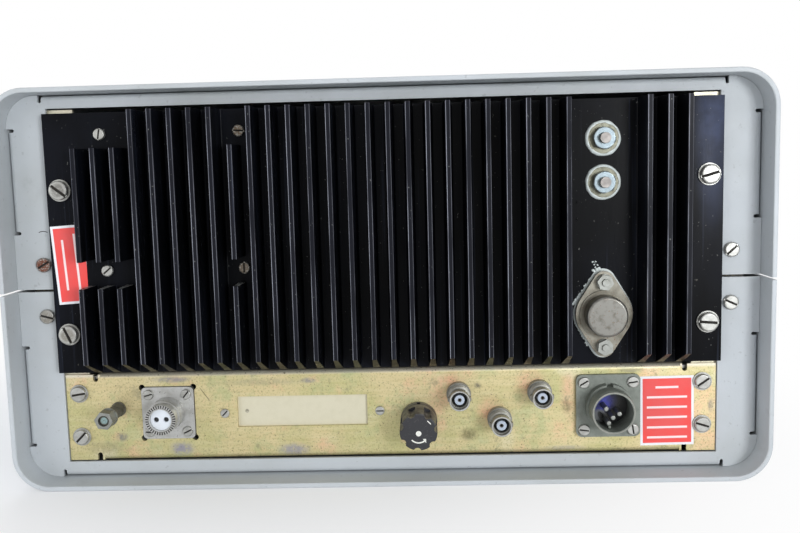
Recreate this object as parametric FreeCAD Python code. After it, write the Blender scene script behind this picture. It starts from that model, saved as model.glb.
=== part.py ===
import FreeCAD, Part
import math
import os

from FreeCAD import Vector

# Table-top receiver in a two-shell cabinet, millimetres, +Z up.
# The origin is the centre of the bottom of the whole object. The front with its controls faces -Y,
# the rear with the heat sink and the connectors faces +Y.

# Cabinet
cabinet_width = 355.6
cabinet_height = 188.6
cabinet_depth = 318.0
shell_sheet = 2.3
corner_radius = 17.0
seam_gap = 1.2
rear_recess = 13.9
front_recess = 6.0
rim_rounding = 0.6
frame_sheet = 1.6
frame_gap = 0.12
frame_flange_gap = 0.5
frame_flange_depth = 12.0
frame_bend = 2.4
relief_width = 1.6
relief_depth = 3.6
opening_width = 312.4
opening_low_margin = 7.5
opening_top_margin = 6.4
side_flange_inner = 28.4
side_flange_outer = 75.0
top_flange_half = 158.0

# Heat sink
sink_edge_gap = 0.2
sink_base = 7.8
sink_proud = 5.3
sink_bottom = 55.2
sink_top_gap = 2.7
fin_height = 15.6
fin_pitch = 8.815
sink_strip = 19.2
fin_tip = 2.0
fin_root = 3.4
fin_root_radius = 0.8
fin_chamfer_height = 7.0
flat_half = 17.0
milled_spans = ((-14.805, 11.64), (-3.095, 5.72))
milled_top = 160.5
pocket_low = 97.1
pocket_high = 109.4

# Rear panel and its parts
panel_sheet = 1.6
panel_inset = 0.9
panel_gap = 0.4
panel_top = 53.0
panel_flange_depth = 10.0
panel_flange_half = 140.0
panel_relief_width = 2.4
panel_relief_depth = 3.8
panel_screw_x = 149.4
panel_screw_z = {1: (43.6, 22.2), -1: (44.2, 23.4)}
ground_x = 130.6
ground_z = 35.6
ground_length = 20.9
ground_nut_length = 6.4
ground_shoulder_radius = 2.95
ground_collar_radius = 3.6
ground_collar_sheet = 1.2
ground_washer_sheet = 0.7
socket_x = 106.4
socket_z = 33.4
socket_flange = 25.4
socket_flange_sheet = 2.4
socket_screw_spacing = 18.26
socket_barrel_radius = 7.95
socket_ring_radius = 7.3
socket_ring_length = 4.5
socket_tip = 12.6
socket_bore = 5.1
socket_opening_half = 13.0
socket_relief_radius = 1.5
window_x = 41.4
window_z = 33.1
window_width = 62.9
window_height = 15.0
window_screw_spacing = 75.0
fuse_x = -14.7
fuse_z = 27.8
fuse_face = 20.0
fuse_tube_radius = 6.2
fuse_bezel_radius = 8.8
fuse_bezel_depth = 4.0
fuse_cap_radius = 8.7
fuse_cap_grooves = 7
fuse_cap_turned = 17.0
coax_places = ((-34.0, 40.4), (-72.4, 40.7), (-53.3, 27.9))
coax_tip = 14.0
coax_barrel_radius = 4.8
coax_neck_radius = 4.4
coax_foot_radius = 5.8
coax_rim_length = 3.2
coax_lug_length = 2.0
coax_bore = 4.05
coax_inner_bore = 3.6
inlet_x = -104.8
inlet_z = 33.5
inlet_flange = 30.2
inlet_flange_sheet = 2.2
inlet_screw_spacing = 23.0
inlet_collar_radius = 11.1
inlet_collar_face = 5.5
inlet_barrel_radius = 9.9
inlet_bore = 9.0
inlet_tip = 14.3
inlet_pin_radius = 1.2
inlet_pin_length = 8.5
label_x = -133.0
label_z = 30.1
label_width = 25.3
label_height = 33.7
label_tilt = 0.5
left_label_x = 146.35
left_label_z = 107.1
left_label_width = 16.3
left_label_height = 37.0
left_label_tilt = 3.3
label_sheet = 0.15

# Parts on the heat sink
sink_screw_x = 149.5
sink_screw_z = (141.9, 74.0)
board_screw_x = (129.4, 64.8)
board_screw_z = (167.2, 103.9)
flat_x = -101.4
diode_z = (159.3, 139.4)
diode_stud_radius = 2.4
diode_nut_across = 9.5
diode_nut_radius = 5.15
transistor_z = 78.8
transistor_hole_spacing = 30.15
transistor_flange_sheet = 3.2
transistor_tip_radius = 4.9
transistor_side_radius = 13.0
transistor_step_radius = 11.3
transistor_can_radius = 9.4
transistor_can_height = 7.4
transistor_pin_x = 5.45
transistor_pin_rise = 1.7
insulator_sheet = 0.2
dimple_x = -89.2
dimple_z = (130.5, 122.8)

# Screws
cabinet_screw_x = 161.8
cabinet_screw_offset = 12.4
m5_radius = 2.5
m4_radius = 2.0
m3_radius = 1.5
flange_screw_radius = 1.4
plate_screw_radius = 1.2
ear_screw_radius = 1.6
slot_share = 0.29
thread_gap = 0.05
hole_gap = 0.2

# Chassis
rail_sheet = 1.6
rail_outer = 158.6
rail_low = 12.0
rail_high = 179.3
rail_flange_inner = 144.6
rail_tab_outer = 168.0
rail_tab_half = 21.0
deck_top = 51.4
deck_sheet = 1.6
deck_wall = 34.0
front_bay = 46.0

# Front panel and controls
front_sheet = 3.0
front_gap = 0.35
front_screw_x = 149.5
front_screw_z = (171.0, 24.0)
knob_gap = 0.8
shaft_radius = 3.0
shaft_gap = 0.05
bushing_radius = 4.7
bushing_nut = 12.0
bushing_nut_height = 2.4
tuning_x = 0.0
tuning_knob_radius = 28.0
tuning_knob_depth = 24.0
dial_z = 114.0
dial_radius = 42.0
dial_sheet = 1.2
dial_rim_radius = 40.0
roller_radius = 6.0
drive_gap = 0.05
dial_window_z = 142.0
dial_window_width = 60.0
dial_window_height = 20.0
small_knob_depth = 17.0
selector_radius = 16.0
gain_radius = 11.5
control_x = (62.0, 112.0)
selector_z = 76.0
gain_z = 32.0
control_body_radius = 11.5
control_body_depth = 14.0
toggle_x = -62.0
toggle_throw = 26.0
toggle_length = 17.0
toggle_ball = 2.6
lamp_z = 76.0
jack_x = -112.0
low_row_z = 32.0
meter_x = 104.0
meter_z = 138.0
meter_width = 64.0
meter_height = 44.0
meter_depth = 26.0
meter_wall = 2.0
speaker_x = -98.0
speaker_z = 124.0
speaker_radius = 38.0
speaker_depth = 26.0
grille_slot = 4.0
grille_pitch = 8.0

# Inside
post_height = 8.0
board_sheet = 1.6
board_x = (20.0, 140.0)
board_y = (-70.0, 90.0)
transformer_x = -100.0
transformer_y = 70.0
stack_width = 76.0
stack_depth = 38.0
stack_height = 64.0
winding_margin = 13.0
capacitor_x = -100.0
capacitor_y = (-22.0, 22.0)
capacitor_radius = 17.5
capacitor_height = 80.0
spacer_length = 10.0

# Places worked out from the sizes above
middle = cabinet_height / 2
half_width = cabinet_width / 2
inner_half = half_width - shell_sheet
inner_low = shell_sheet
inner_high = cabinet_height - shell_sheet
front_reach = knob_gap + tuning_knob_depth - front_recess
rear_reach = sink_proud + fin_height - rear_recess
total_depth = front_reach + cabinet_depth + rear_reach
front_rim = -total_depth / 2 + front_reach
rear_rim = front_rim + cabinet_depth
frame_face = rear_rim - rear_recess
front_face = front_rim + front_recess
front_back = front_face + front_sheet
opening_low = inner_low + opening_low_margin
opening_high = inner_high - opening_top_margin
opening_half = opening_width / 2
sink_face = frame_face + sink_proud
sink_back = sink_face - sink_base
sink_half = opening_half - sink_edge_gap
sink_top = opening_high - sink_top_gap
fin_tip_y = sink_face + fin_height
fin_count = int((2 * sink_half - 2 * sink_strip) / fin_pitch) + 1
first_fin = fin_pitch * (fin_count - 1) / 2
panel_face = frame_face - panel_inset
panel_back = panel_face - panel_sheet
panel_half = opening_half - panel_gap
panel_low = opening_low + panel_gap
rail_inner = rail_outer - rail_sheet
plate_screw_places = [(window_x + side * window_screw_spacing / 2, window_z - 0.5) for side in (1, -1)]
deck_low = deck_top - deck_sheet
tuning_z = dial_z - dial_rim_radius - roller_radius
dial_back = front_back + 5.0
toggle_pivot_y = front_face - 2.0


def block(x0, x1, y0, y1, z0, z1):
    """A box between two corners, given in any order."""
    low = Vector(min(x0, x1), min(y0, y1), min(z0, z1))
    return Part.makeBox(abs(x1 - x0), abs(y1 - y0), abs(z1 - z0), low)


def rod(x, z, radius, y0, y1):
    """A round bar along Y."""
    return Part.makeCylinder(radius, abs(y1 - y0), Vector(x, min(y0, y1), z), Vector(0, 1, 0))


def post(x, y, radius, z0, z1):
    """A round bar along Z."""
    return Part.makeCylinder(radius, z1 - z0, Vector(x, y, z0), Vector(0, 0, 1))


def joined(shapes):
    """One solid from shapes that touch or overlap."""
    return shapes[0].multiFuse(shapes[1:]).removeSplitter()


def without(shape, tools):
    """The shape with every tool cut out of it."""
    return shape.cut(Part.makeCompound(tools))


def outline(points):
    """A closed wire through points; a point given as (middle, end) makes an arc."""
    edges = []
    here = points[0]
    for step in points[1:] + [points[0]]:
        if isinstance(step, tuple):
            edges.append(Part.Arc(here, step[0], step[1]).toShape())
            here = step[1]
        elif (step - here).Length > 1e-6:
            edges.append(Part.LineSegment(here, step).toShape())
            here = step
    return Part.Wire(edges)


def prism(wire, way):
    """A wire's face pushed along a vector."""
    return Part.Face(wire).extrude(way)


def rounded_block(x0, x1, z0, z1, radius, y0, y1):
    """A plate square to Y with four round corners."""
    plate = block(x0, x1, y0, y1, z0, z1)
    corners = [edge for edge in plate.Edges if abs(edge.tangentAt(edge.FirstParameter).y) > 0.99]
    return plate.makeFillet(radius, corners)


def hexagon(x, z, across, y0, y1, turn=0.0):
    """A hexagonal bar along Y."""
    reach = across / math.sqrt(3)
    corners = []
    for step in range(6):
        angle = math.radians(60 * step + turn)
        corners.append(Vector(x + reach * math.cos(angle), y0, z + reach * math.sin(angle)))
    return prism(outline(corners), Vector(0, y1 - y0, 0))


def rounded_rim(shape, y, radius):
    """Round the edges of a shape that lie in one plane square to Y."""
    edges = []
    for edge in shape.Edges:
        flat = all(abs(vertex.Y - y) < 1e-4 for vertex in edge.Vertexes)
        if flat and abs(edge.CenterOfMass.y - y) < 1e-4:
            edges.append(edge)
    return shape.makeFillet(radius, edges)


def screw(x, z, seat, head_radius, head_height, shank_radius, length, turn, side=1):
    """A slotted pan-head screw along Y; side is +1 where its head faces the rear."""
    top = seat + side * head_height
    head = rounded_rim(rod(x, z, head_radius, seat, top), top, 0.4 * head_height)
    half_slot = slot_share * head_radius / 2
    groove = block(x - 2 * head_radius, x + 2 * head_radius, top - side * 0.5 * head_height,
                   top + side, z - half_slot, z + half_slot)
    groove.rotate(Vector(x, 0, z), Vector(0, 1, 0), turn)
    shank = rod(x, z, shank_radius, seat, seat - side * length)
    return joined([head.cut(groove), shank])


def washer(x, z, outer, inner, y0, y1):
    """A flat ring square to Y."""
    return rod(x, z, outer, y0, y1).cut(rod(x, z, inner, y0, y1))


def write(node, *solids):
    """Write one node; a group of separate solids stays a group."""
    shape = solids[0] if len(solids) == 1 else Part.makeCompound(list(solids))
    shape.exportStep("parts/%s.step" % node)


# Cabinet shells

def cabinet_half(side):
    """One shell: half of the rounded tube, side is +1 for the upper one."""
    outer = rounded_block(-half_width, half_width, 0, cabinet_height, corner_radius, front_rim, rear_rim)
    inner = rounded_block(-inner_half, inner_half, inner_low, inner_high, corner_radius - shell_sheet,
                          front_rim - 1, rear_rim + 1)
    tube = outer.cut(inner)
    for rim in (front_rim, rear_rim):
        tube = rounded_rim(tube, rim, rim_rounding)
    edge = middle + side * seam_gap / 2
    away = edge - side * cabinet_height
    return tube.cut(block(-cabinet_width, cabinet_width, front_rim - 1, rear_rim + 1, edge, away))


def bent_flange(wall, side, low, high, along_x):
    """An L section: the frame's edge bent forward, at a wall, between two places along it."""
    inner_bend = frame_bend - frame_sheet
    slope = math.sqrt(0.5)

    def at(depth, offset):
        across = side * (wall - offset)
        if along_x:
            return Vector(low, frame_face - depth, across + (middle if side else 0))
        return Vector(across, frame_face - depth, low)

    outer_mid = at(frame_bend * (1 - slope), frame_bend * (1 - slope))
    inner_mid = at(frame_bend - inner_bend * slope, frame_bend - inner_bend * slope)
    section = outline([
        at(0, frame_bend),
        (outer_mid, at(frame_bend, 0)),
        at(frame_flange_depth, 0),
        at(frame_flange_depth, frame_sheet),
        at(frame_bend, frame_sheet),
        (inner_mid, at(frame_sheet, frame_bend)),
    ])
    way = Vector(high - low, 0, 0) if along_x else Vector(0, 0, high - low)
    return prism(section, way)


def relief(x, z, along_x, side):
    """A round-ended slot cut from the frame's edge at the end of a flange."""
    y0 = frame_face - frame_flange_depth - 1
    y1 = frame_face + 1
    half = relief_width / 2
    if along_x:
        deep = z - side * (relief_depth - half)
        slot = block(x - half, x + half, y0, y1, deep, z + side * 2)
        return slot.fuse(rod(x, deep, half, y0, y1))
    deep = x - side * (relief_depth - half)
    slot = block(deep, x + side * 2, y0, y1, z - half, z + half)
    return slot.fuse(rod(deep, z, half, y0, y1))


def rear_frame(side):
    """Half of the painted frame inside the rear rim; side is +1 for the upper half."""
    half = inner_half - frame_gap
    face = rounded_block(-half, half, inner_low + frame_gap, inner_high - frame_gap,
                         corner_radius - shell_sheet - frame_gap, frame_face - frame_sheet, frame_face)
    face = face.cut(block(-opening_half, opening_half, frame_face - frame_sheet - 1, frame_face + 1,
                          opening_low, opening_high))
    edge = middle + side * seam_gap / 2
    face = face.cut(block(-cabinet_width, cabinet_width, frame_face - frame_sheet - 1, frame_face + 1,
                          edge, edge - side * cabinet_height))
    across = inner_high - middle - frame_flange_gap
    upright = inner_half - frame_flange_gap
    low = middle + side * side_flange_inner
    high = middle + side * side_flange_outer
    y0 = frame_face - frame_sheet - 1
    y1 = frame_face + 1
    strips = [block(-top_flange_half, top_flange_half, y0, y1,
                    middle + side * (across - frame_bend), middle + side * (across + 10))]
    for hand in (-1, 1):
        strips.append(block(hand * (upright - frame_bend), hand * (upright + 10), y0, y1, low, high))
    face = without(face, strips)
    pieces = [face, bent_flange(across, side, -top_flange_half, top_flange_half, True)]
    for hand in (-1, 1):
        pieces.append(bent_flange(upright, hand, min(low, high), max(low, high), False))
    frame = joined(pieces)
    edge_z = middle + side * (inner_high - middle - frame_gap)
    holes = []
    for hand in (-1, 1):
        holes.append(relief(hand * (top_flange_half + relief_width / 2), edge_z, True, side))
        for z in (low - side * relief_width / 2, high + side * relief_width / 2):
            holes.append(relief(hand * half, z, False, hand))
        holes.append(rod(hand * cabinet_screw_x, middle + side * cabinet_screw_offset,
                         m4_radius + hole_gap, frame_face - frame_sheet - 1, frame_face + 1))
    return without(frame, holes)


def cabinet_screws():
    """Four screws beside the seam, into the tabs of the side rails."""
    turns = (30, -15, 42, -25)
    places = [(hand * cabinet_screw_x, middle + up * cabinet_screw_offset)
              for hand in (1, -1) for up in (1, -1)]
    return [screw(x, z, frame_face, 3.5, 1.9, m4_radius, frame_sheet + rail_sheet + 1.5, turn)
            for (x, z), turn in zip(places, turns)]


# Chassis

def side_rail(hand):
    """A tall channel down one side, tabbed at the rear and flanged at both ends."""
    web = block(hand * rail_inner, hand * rail_outer, front_back, frame_face - frame_sheet,
                rail_low, rail_high)
    step = (panel_top + sink_bottom) / 2
    upper = block(hand * rail_flange_inner, hand * rail_outer, sink_back - rail_sheet, sink_back,
                  step, rail_high)
    lower = block(hand * rail_flange_inner, hand * rail_outer, panel_back - rail_sheet, panel_back,
                  rail_low, step)
    front = block(hand * rail_flange_inner, hand * rail_outer, front_back, front_back + rail_sheet,
                  rail_low, rail_high)
    tab = block(hand * rail_inner, hand * rail_tab_outer, frame_face - frame_sheet - rail_sheet,
                frame_face - frame_sheet, middle - rail_tab_half, middle + rail_tab_half)
    rail = joined([web, upper, lower, front, tab])
    y0 = frame_face - 20
    y1 = frame_face + 1
    holes = [rod(hand * sink_screw_x, z, m5_radius + thread_gap, y0, y1) for z in sink_screw_z]
    holes += [rod(hand * panel_screw_x, z, m4_radius + thread_gap, y0, y1) for z in panel_screw_z[hand]]
    holes += [rod(hand * cabinet_screw_x, middle + up * cabinet_screw_offset, m4_radius + thread_gap,
                  y0, y1) for up in (-1, 1)]
    holes += [rod(hand * front_screw_x, z, m4_radius + thread_gap, front_back - 1, front_back + 10)
              for z in front_screw_z]
    return without(rail, holes)


def chassis_deck():
    """The deck between the rails, its sides and front bent down."""
    deck_front = front_back + front_bay
    deck_rear = panel_back - rail_sheet
    deck = block(-rail_inner, rail_inner, deck_front, deck_rear, deck_low, deck_top)
    walls = [block(hand * (rail_inner - deck_sheet), hand * rail_inner, deck_front, deck_rear,
                   deck_top - deck_wall, deck_top) for hand in (-1, 1)]
    front = block(-rail_inner, rail_inner, deck_front, deck_front + deck_sheet,
                  deck_top - deck_wall, deck_top)
    return joined([deck, front] + walls)


# Heat sink

def fin_x(place):
    return first_fin - place * fin_pitch


def fin_section(place):
    """One tapered fin with small round roots, as a prism up the whole height."""
    x = fin_x(place)
    root = fin_root / 2
    tip = fin_tip / 2
    bow = fin_root_radius
    lean = (root - tip) / fin_height
    foot = root - lean * bow
    short = bow * (1 - math.sqrt(0.5))
    sink_in = 0.5

    def at(across, up):
        return Vector(x + across, sink_face + up, sink_bottom)

    section = outline([
        at(-root - bow, -sink_in),
        at(root + bow, -sink_in),
        at(root + bow, 0),
        (at(foot + short, short), at(foot, bow)),
        at(tip, fin_height),
        at(-tip, fin_height),
        at(-foot, bow),
        (at(-foot - short, short), at(-root - bow, 0)),
    ])
    return prism(section, Vector(0, 0, sink_top - sink_bottom))


def heat_sink():
    """The extrusion with its milled flats, cut fin and drilled holes."""
    base = block(-sink_half, sink_half, sink_back, sink_face, sink_bottom, sink_top)
    fins = [fin_section(place) for place in range(fin_count) if abs(fin_x(place) - flat_x) > flat_half]
    sink = joined([base] + fins)
    wedge = outline([
        Vector(-sink_half, sink_face, sink_bottom),
        Vector(-sink_half, fin_tip_y + 1, sink_bottom),
        Vector(-sink_half, fin_tip_y + 1, sink_bottom + fin_chamfer_height * (fin_height + 1) / fin_height),
    ])
    cuts = [prism(wedge, Vector(2 * sink_half, 0, 0))]
    for x, (low, high) in zip(board_screw_x, milled_spans):
        cuts.append(block(x + low, x + high, sink_face, fin_tip_y + 1, milled_top, sink_top + 1))
        cuts.append(block(x + low, x + high, sink_face, fin_tip_y + 1, pocket_low, pocket_high))
    y0 = sink_back - 1
    y1 = sink_face + 1
    for hand in (-1, 1):
        cuts += [rod(hand * sink_screw_x, z, m5_radius + hole_gap, y0, y1) for z in sink_screw_z]
    cuts += [rod(x, z, m3_radius + hole_gap, y0, y1) for x in board_screw_x for z in board_screw_z]
    cuts += [rod(flat_x, z, m5_radius + hole_gap, y0, y1) for z in diode_z]
    cuts += ear_rods(m4_radius, y0, y1)
    cuts += pin_rods(1.4, y0, y1)
    cuts += [rod(dimple_x, z, 0.6, sink_face - 0.6, y1) for z in dimple_z]
    return without(sink, cuts)


def sink_screws():
    """Four large slotted screws, each on its own washer."""
    turns = (-38, -66, 16, -5)
    places = [(hand * sink_screw_x, z) for hand in (1, -1) for z in sink_screw_z]
    solids = []
    for (x, z), turn in zip(places, turns):
        solids.append(washer(x, z, 5.1, m5_radius + hole_gap, sink_face, sink_face + 0.9))
        solids.append(screw(x, z, sink_face + 0.9, 4.5, 2.4, m5_radius,
                            0.9 + sink_base + rail_sheet + 1, turn))
    return solids


def board_screws():
    """Four small slotted screws that hold the regulator board behind the sink."""
    turns = (80, 40, -5, 90)
    places = [(x, z) for x in board_screw_x for z in board_screw_z]
    return [screw(x, z, sink_face, 2.7, 1.6, m3_radius, sink_base + spacer_length + board_sheet + 2, turn)
            for (x, z), turn in zip(places, turns)]


def regulator_spacers():
    """Four tubes between the sink's back and the regulator board."""
    return [washer(x, z, 3.2, m3_radius + thread_gap, sink_back - spacer_length, sink_back)
            for x in board_screw_x for z in board_screw_z]


def regulator_board():
    """The small board behind the sink with a row of parts on it."""
    front = sink_back - spacer_length
    low_x, high_x = min(board_screw_x) - 6, max(board_screw_x) + 6
    low_z, high_z = min(board_screw_z) - 6, max(board_screw_z) + 6
    board = block(low_x, high_x, front - board_sheet, front, low_z, high_z)
    holes = [rod(x, z, m3_radius + thread_gap, front - board_sheet - 1, front + 1)
             for x in board_screw_x for z in board_screw_z]
    cans = [rod(low_x + 22 + 16 * step, high_z - 35, 5.0, front - board_sheet - 12, front - board_sheet)
            for step in range(3)]
    blocks = [block(low_x + 18, low_x + 50, front - board_sheet - 5, front - board_sheet,
                    low_z + 18 + 11 * step, low_z + 23 + 11 * step) for step in range(2)]
    return joined([without(board, holes)] + cans + blocks)


def stud_diodes():
    """Two diodes inside, their studs reaching out through the sink."""
    solids = []
    for z in diode_z:
        case = hexagon(flat_x, z, 11.0, sink_back - 4.0, sink_back)
        can = rod(flat_x, z, 4.6, sink_back - 9.0, sink_back - 4.0)
        pin = rod(flat_x, z, 0.8, sink_back - 16.0, sink_back - 9.0)
        stud = rod(flat_x, z, diode_stud_radius, sink_back, sink_face + 7.2)
        solids.append(joined([case, can, pin, stud]))
    return solids


def diode_nuts():
    """A wide washer and a nut on each diode stud."""
    solids = []
    for z, turn in zip(diode_z, (12, 40)):
        solids.append(washer(flat_x, z, 7.6, diode_stud_radius + hole_gap, sink_face, sink_face + 1.0))
        nut = hexagon(flat_x, z, diode_nut_across, sink_face + 1.0, sink_face + 4.6, turn)
        crown = rounded_rim(rod(flat_x, z, diode_nut_radius, sink_face + 1.0, sink_face + 4.6),
                            sink_face + 4.6, 0.6)
        solids.append(nut.common(crown).cut(
            rod(flat_x, z, diode_stud_radius + thread_gap, sink_face, sink_face + 6)))
    return solids


def diamond(tip_radius, side_radius, y0, y1):
    """The two-eared flange outline of the power transistor, long way up."""
    half = transistor_hole_spacing / 2
    slant = math.acos((side_radius - tip_radius) / half)
    points = []
    for up, radius, first, last in ((1, tip_radius, slant, -slant), (-1, tip_radius, slant, -slant)):
        centre = transistor_z + up * half
        angles = [first, 0, last]
        points += [Vector(flat_x + radius * math.sin(angle), y0, centre + up * radius * math.cos(angle))
                   for angle in (angles if up == 1 else angles[::-1])]
    right = [Vector(flat_x + side * side_radius, y0, transistor_z) for side in (-1, 1)]
    low, high = side_radius * math.cos(slant), side_radius * math.sin(slant)
    edges = [
        Part.Arc(points[0], points[1], points[2]),
        Part.LineSegment(points[2], Vector(flat_x - high, y0, transistor_z + low)),
        Part.Arc(Vector(flat_x - high, y0, transistor_z + low), right[0],
                 Vector(flat_x - high, y0, transistor_z - low)),
        Part.LineSegment(Vector(flat_x - high, y0, transistor_z - low), points[3]),
        Part.Arc(points[3], points[4], points[5]),
        Part.LineSegment(points[5], Vector(flat_x + high, y0, transistor_z - low)),
        Part.Arc(Vector(flat_x + high, y0, transistor_z - low), right[1],
                 Vector(flat_x + high, y0, transistor_z + low)),
        Part.LineSegment(Vector(flat_x + high, y0, transistor_z + low), points[0]),
    ]
    wire = Part.Wire([edge.toShape() for edge in edges])
    return prism(wire, Vector(0, y1 - y0, 0))


def ear_rods(radius, y0, y1):
    half = transistor_hole_spacing / 2
    return [rod(flat_x, transistor_z + up * half, radius, y0, y1) for up in (-1, 1)]


def pin_rods(radius, y0, y1):
    z = transistor_z + transistor_pin_rise
    return [rod(flat_x + side * transistor_pin_x, z, radius, y0, y1) for side in (-1, 1)]


def transistor_insulator():
    """The thin mica sheet with its grease, a little wider than the flange."""
    y1 = sink_face + insulator_sheet
    sheet = diamond(transistor_tip_radius + 0.9, transistor_side_radius + 0.7, sink_face, y1)
    return without(sheet, pin_rods(1.2, sink_face - 1, y1 + 1) + ear_rods(m4_radius, sink_face - 1, y1 + 1))


def power_transistor():
    """The eared flange, the stepped can and two pins through the sink."""
    seat = sink_face + insulator_sheet
    top = seat + transistor_flange_sheet
    flange = diamond(transistor_tip_radius, transistor_side_radius, seat, top)
    step = rod(flat_x, transistor_z, transistor_step_radius, top, top + 0.8)
    crown = top + 0.8 + transistor_can_height
    can = rounded_rim(rod(flat_x, transistor_z, transistor_can_radius, top + 0.8, crown), crown, 1.3)
    pins = pin_rods(0.5, sink_back - 5, seat)
    return without(joined([flange, step, can] + pins), ear_rods(m4_radius, seat - 1, top + 1))


def transistor_screws():
    """A screw and a round-shouldered nut through each ear."""
    seat = sink_face + insulator_sheet + transistor_flange_sheet
    solids = []
    for up, turn in ((1, 10), (-1, 35)):
        z = transistor_z + up * transistor_hole_spacing / 2
        head = rod(flat_x, z, 3.4, sink_back - 2.2, sink_back)
        solids.append(joined([head, rod(flat_x, z, ear_screw_radius, sink_back, seat + 4.4)]))
        skirt = rod(flat_x, z, 3.7, seat, seat + 1.0)
        nut = joined([skirt, hexagon(flat_x, z, 6.6, seat + 1.0, seat + 3.4, turn)])
        solids.append(nut.cut(rod(flat_x, z, ear_screw_radius + thread_gap, seat - 1, seat + 6)))
    return solids


# Rear panel

def socket_reliefs(y0, y1):
    """The round corner reliefs of the socket's square cut-out, also drilled in the plate behind."""
    spacing = 2 * (socket_opening_half - 0.5)
    return corner_holes(socket_x, socket_z, spacing, socket_relief_radius, y0, y1)


def rear_panel():
    """The plated panel: bent top and bottom edges, reliefs, and all its cut-outs."""
    sheet = panel_sheet
    bend = sheet + 0.8
    slope = math.sqrt(0.5)

    def section_point(depth, z):
        return Vector(-panel_flange_half, panel_face - depth, z)

    outer = bend * (1 - slope)
    deep = bend - 0.8 * slope
    high, low = panel_top, panel_low
    section = outline([
        section_point(0, low + bend),
        section_point(0, high - bend),
        (section_point(outer, high - outer), section_point(bend, high)),
        section_point(panel_flange_depth, high),
        section_point(panel_flange_depth, high - sheet),
        section_point(bend, high - sheet),
        (section_point(deep, high - deep), section_point(sheet, high - bend)),
        section_point(sheet, low + bend),
        (section_point(deep, low + deep), section_point(bend, low + sheet)),
        section_point(panel_flange_depth, low + sheet),
        section_point(panel_flange_depth, low),
        section_point(bend, low),
        (section_point(outer, low + outer), section_point(0, low + bend)),
    ])
    middle_part = prism(section, Vector(2 * panel_flange_half, 0, 0))
    ends = [block(hand * (panel_flange_half - 1), hand * panel_half, panel_back, panel_face,
                  low + 0.2, high - 0.3) for hand in (-1, 1)]
    panel = joined([middle_part] + ends)
    y0 = panel_back - panel_flange_depth
    y1 = panel_face + 1
    cuts = []
    for hand in (-1, 1):
        x = hand * (panel_flange_half + panel_relief_width / 2)
        for z, side in ((high, 1), (low, -1)):
            deep_z = z - side * (panel_relief_depth - panel_relief_width / 2)
            cuts.append(block(x - panel_relief_width / 2, x + panel_relief_width / 2, y0, y1,
                              deep_z, z + side))
            cuts.append(rod(x, deep_z, panel_relief_width / 2, y0, y1))
        cuts += [rod(hand * panel_screw_x, z, m4_radius + hole_gap, y0, y1) for z in panel_screw_z[hand]]
    cuts.append(rod(ground_x, ground_z, m5_radius + hole_gap, y0, y1))
    half = socket_opening_half
    y0 = panel_back - 1
    cuts.append(block(socket_x - half, socket_x + half, y0, y1, socket_z - half, socket_z + half))
    cuts += socket_reliefs(y0, y1)
    cuts.append(block(window_x - window_width / 2, window_x + window_width / 2, y0, y1,
                      window_z - window_height / 2, window_z + window_height / 2))
    cuts += [rod(x, z, plate_screw_radius + hole_gap, y0, y1) for x, z in plate_screw_places]
    cuts.append(rod(fuse_x, fuse_z, fuse_tube_radius + hole_gap, y0, y1))
    cuts += [rod(x, z, coax_neck_radius + hole_gap, y0, y1) for x, z in coax_places]
    cuts.append(rod(inlet_x, inlet_z, inlet_barrel_radius + hole_gap, y0, y1))
    cuts += corner_holes(inlet_x, inlet_z, inlet_screw_spacing, flange_screw_radius + thread_gap, y0, y1)
    return without(panel, cuts)


def panel_screws():
    """Four slotted screws with washers at the ends of the rear panel."""
    turns = (8, 45, 35, -18)
    places = [(hand * panel_screw_x, z) for hand in (1, -1) for z in panel_screw_z[hand]]
    solids = []
    for (x, z), turn in zip(places, turns):
        solids.append(washer(x, z, 4.4, m4_radius + hole_gap, panel_face, panel_face + 0.8))
        solids.append(screw(x, z, panel_face + 0.8, 3.7, 1.8, m4_radius,
                            0.8 + panel_sheet + rail_sheet + 1, turn))
    return solids


def ground_stud():
    """The earth stud: a collar on the panel, a thick shoulder and a narrow end inside its nut."""
    tip = panel_face + ground_length
    seat = tip - ground_nut_length - ground_washer_sheet
    thread = rod(ground_x, ground_z, m5_radius, panel_back - 8, tip - 2.0)
    end = rod(ground_x, ground_z, 1.7, tip - 2.0, tip - 0.9)
    shoulder = rod(ground_x, ground_z, ground_shoulder_radius, panel_face, seat)
    collar = rod(ground_x, ground_z, ground_collar_radius, panel_face, panel_face + ground_collar_sheet)
    return joined([thread, end, shoulder, collar])


def ground_nuts():
    """The clamping nut at the stud's tip with its washer, and the nut behind the panel."""
    tip = panel_face + ground_length
    seat = tip - ground_nut_length
    bore = rod(ground_x, ground_z, m5_radius + thread_gap, panel_back - 10, tip + 1)
    outer = hexagon(ground_x, ground_z, 7.6, seat, tip, 8)
    ring = rod(ground_x, ground_z, 4.4, seat - ground_washer_sheet, seat)
    inner = hexagon(ground_x, ground_z, 8.4, panel_back - 3.6, panel_back, 0)
    return [piece.cut(bore) for piece in (outer, ring, inner)]


def corner_screws(x, z, spacing, seat, head_radius, shank_radius, length, turns):
    """Four small screws on a square."""
    offset = spacing / 2
    places = [(x + side * offset, z + up * offset) for side in (1, -1) for up in (1, -1)]
    return [screw(px, pz, seat, head_radius, 1.3, shank_radius, length, turn)
            for (px, pz), turn in zip(places, turns)]


def corner_holes(x, z, spacing, radius, y0, y1):
    offset = spacing / 2
    return [rod(x + side * offset, z + up * offset, radius, y0, y1) for side in (1, -1) for up in (1, -1)]


socket_flange_face = panel_back + socket_flange_sheet
inlet_flange_face = panel_face + inlet_flange_sheet


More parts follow.
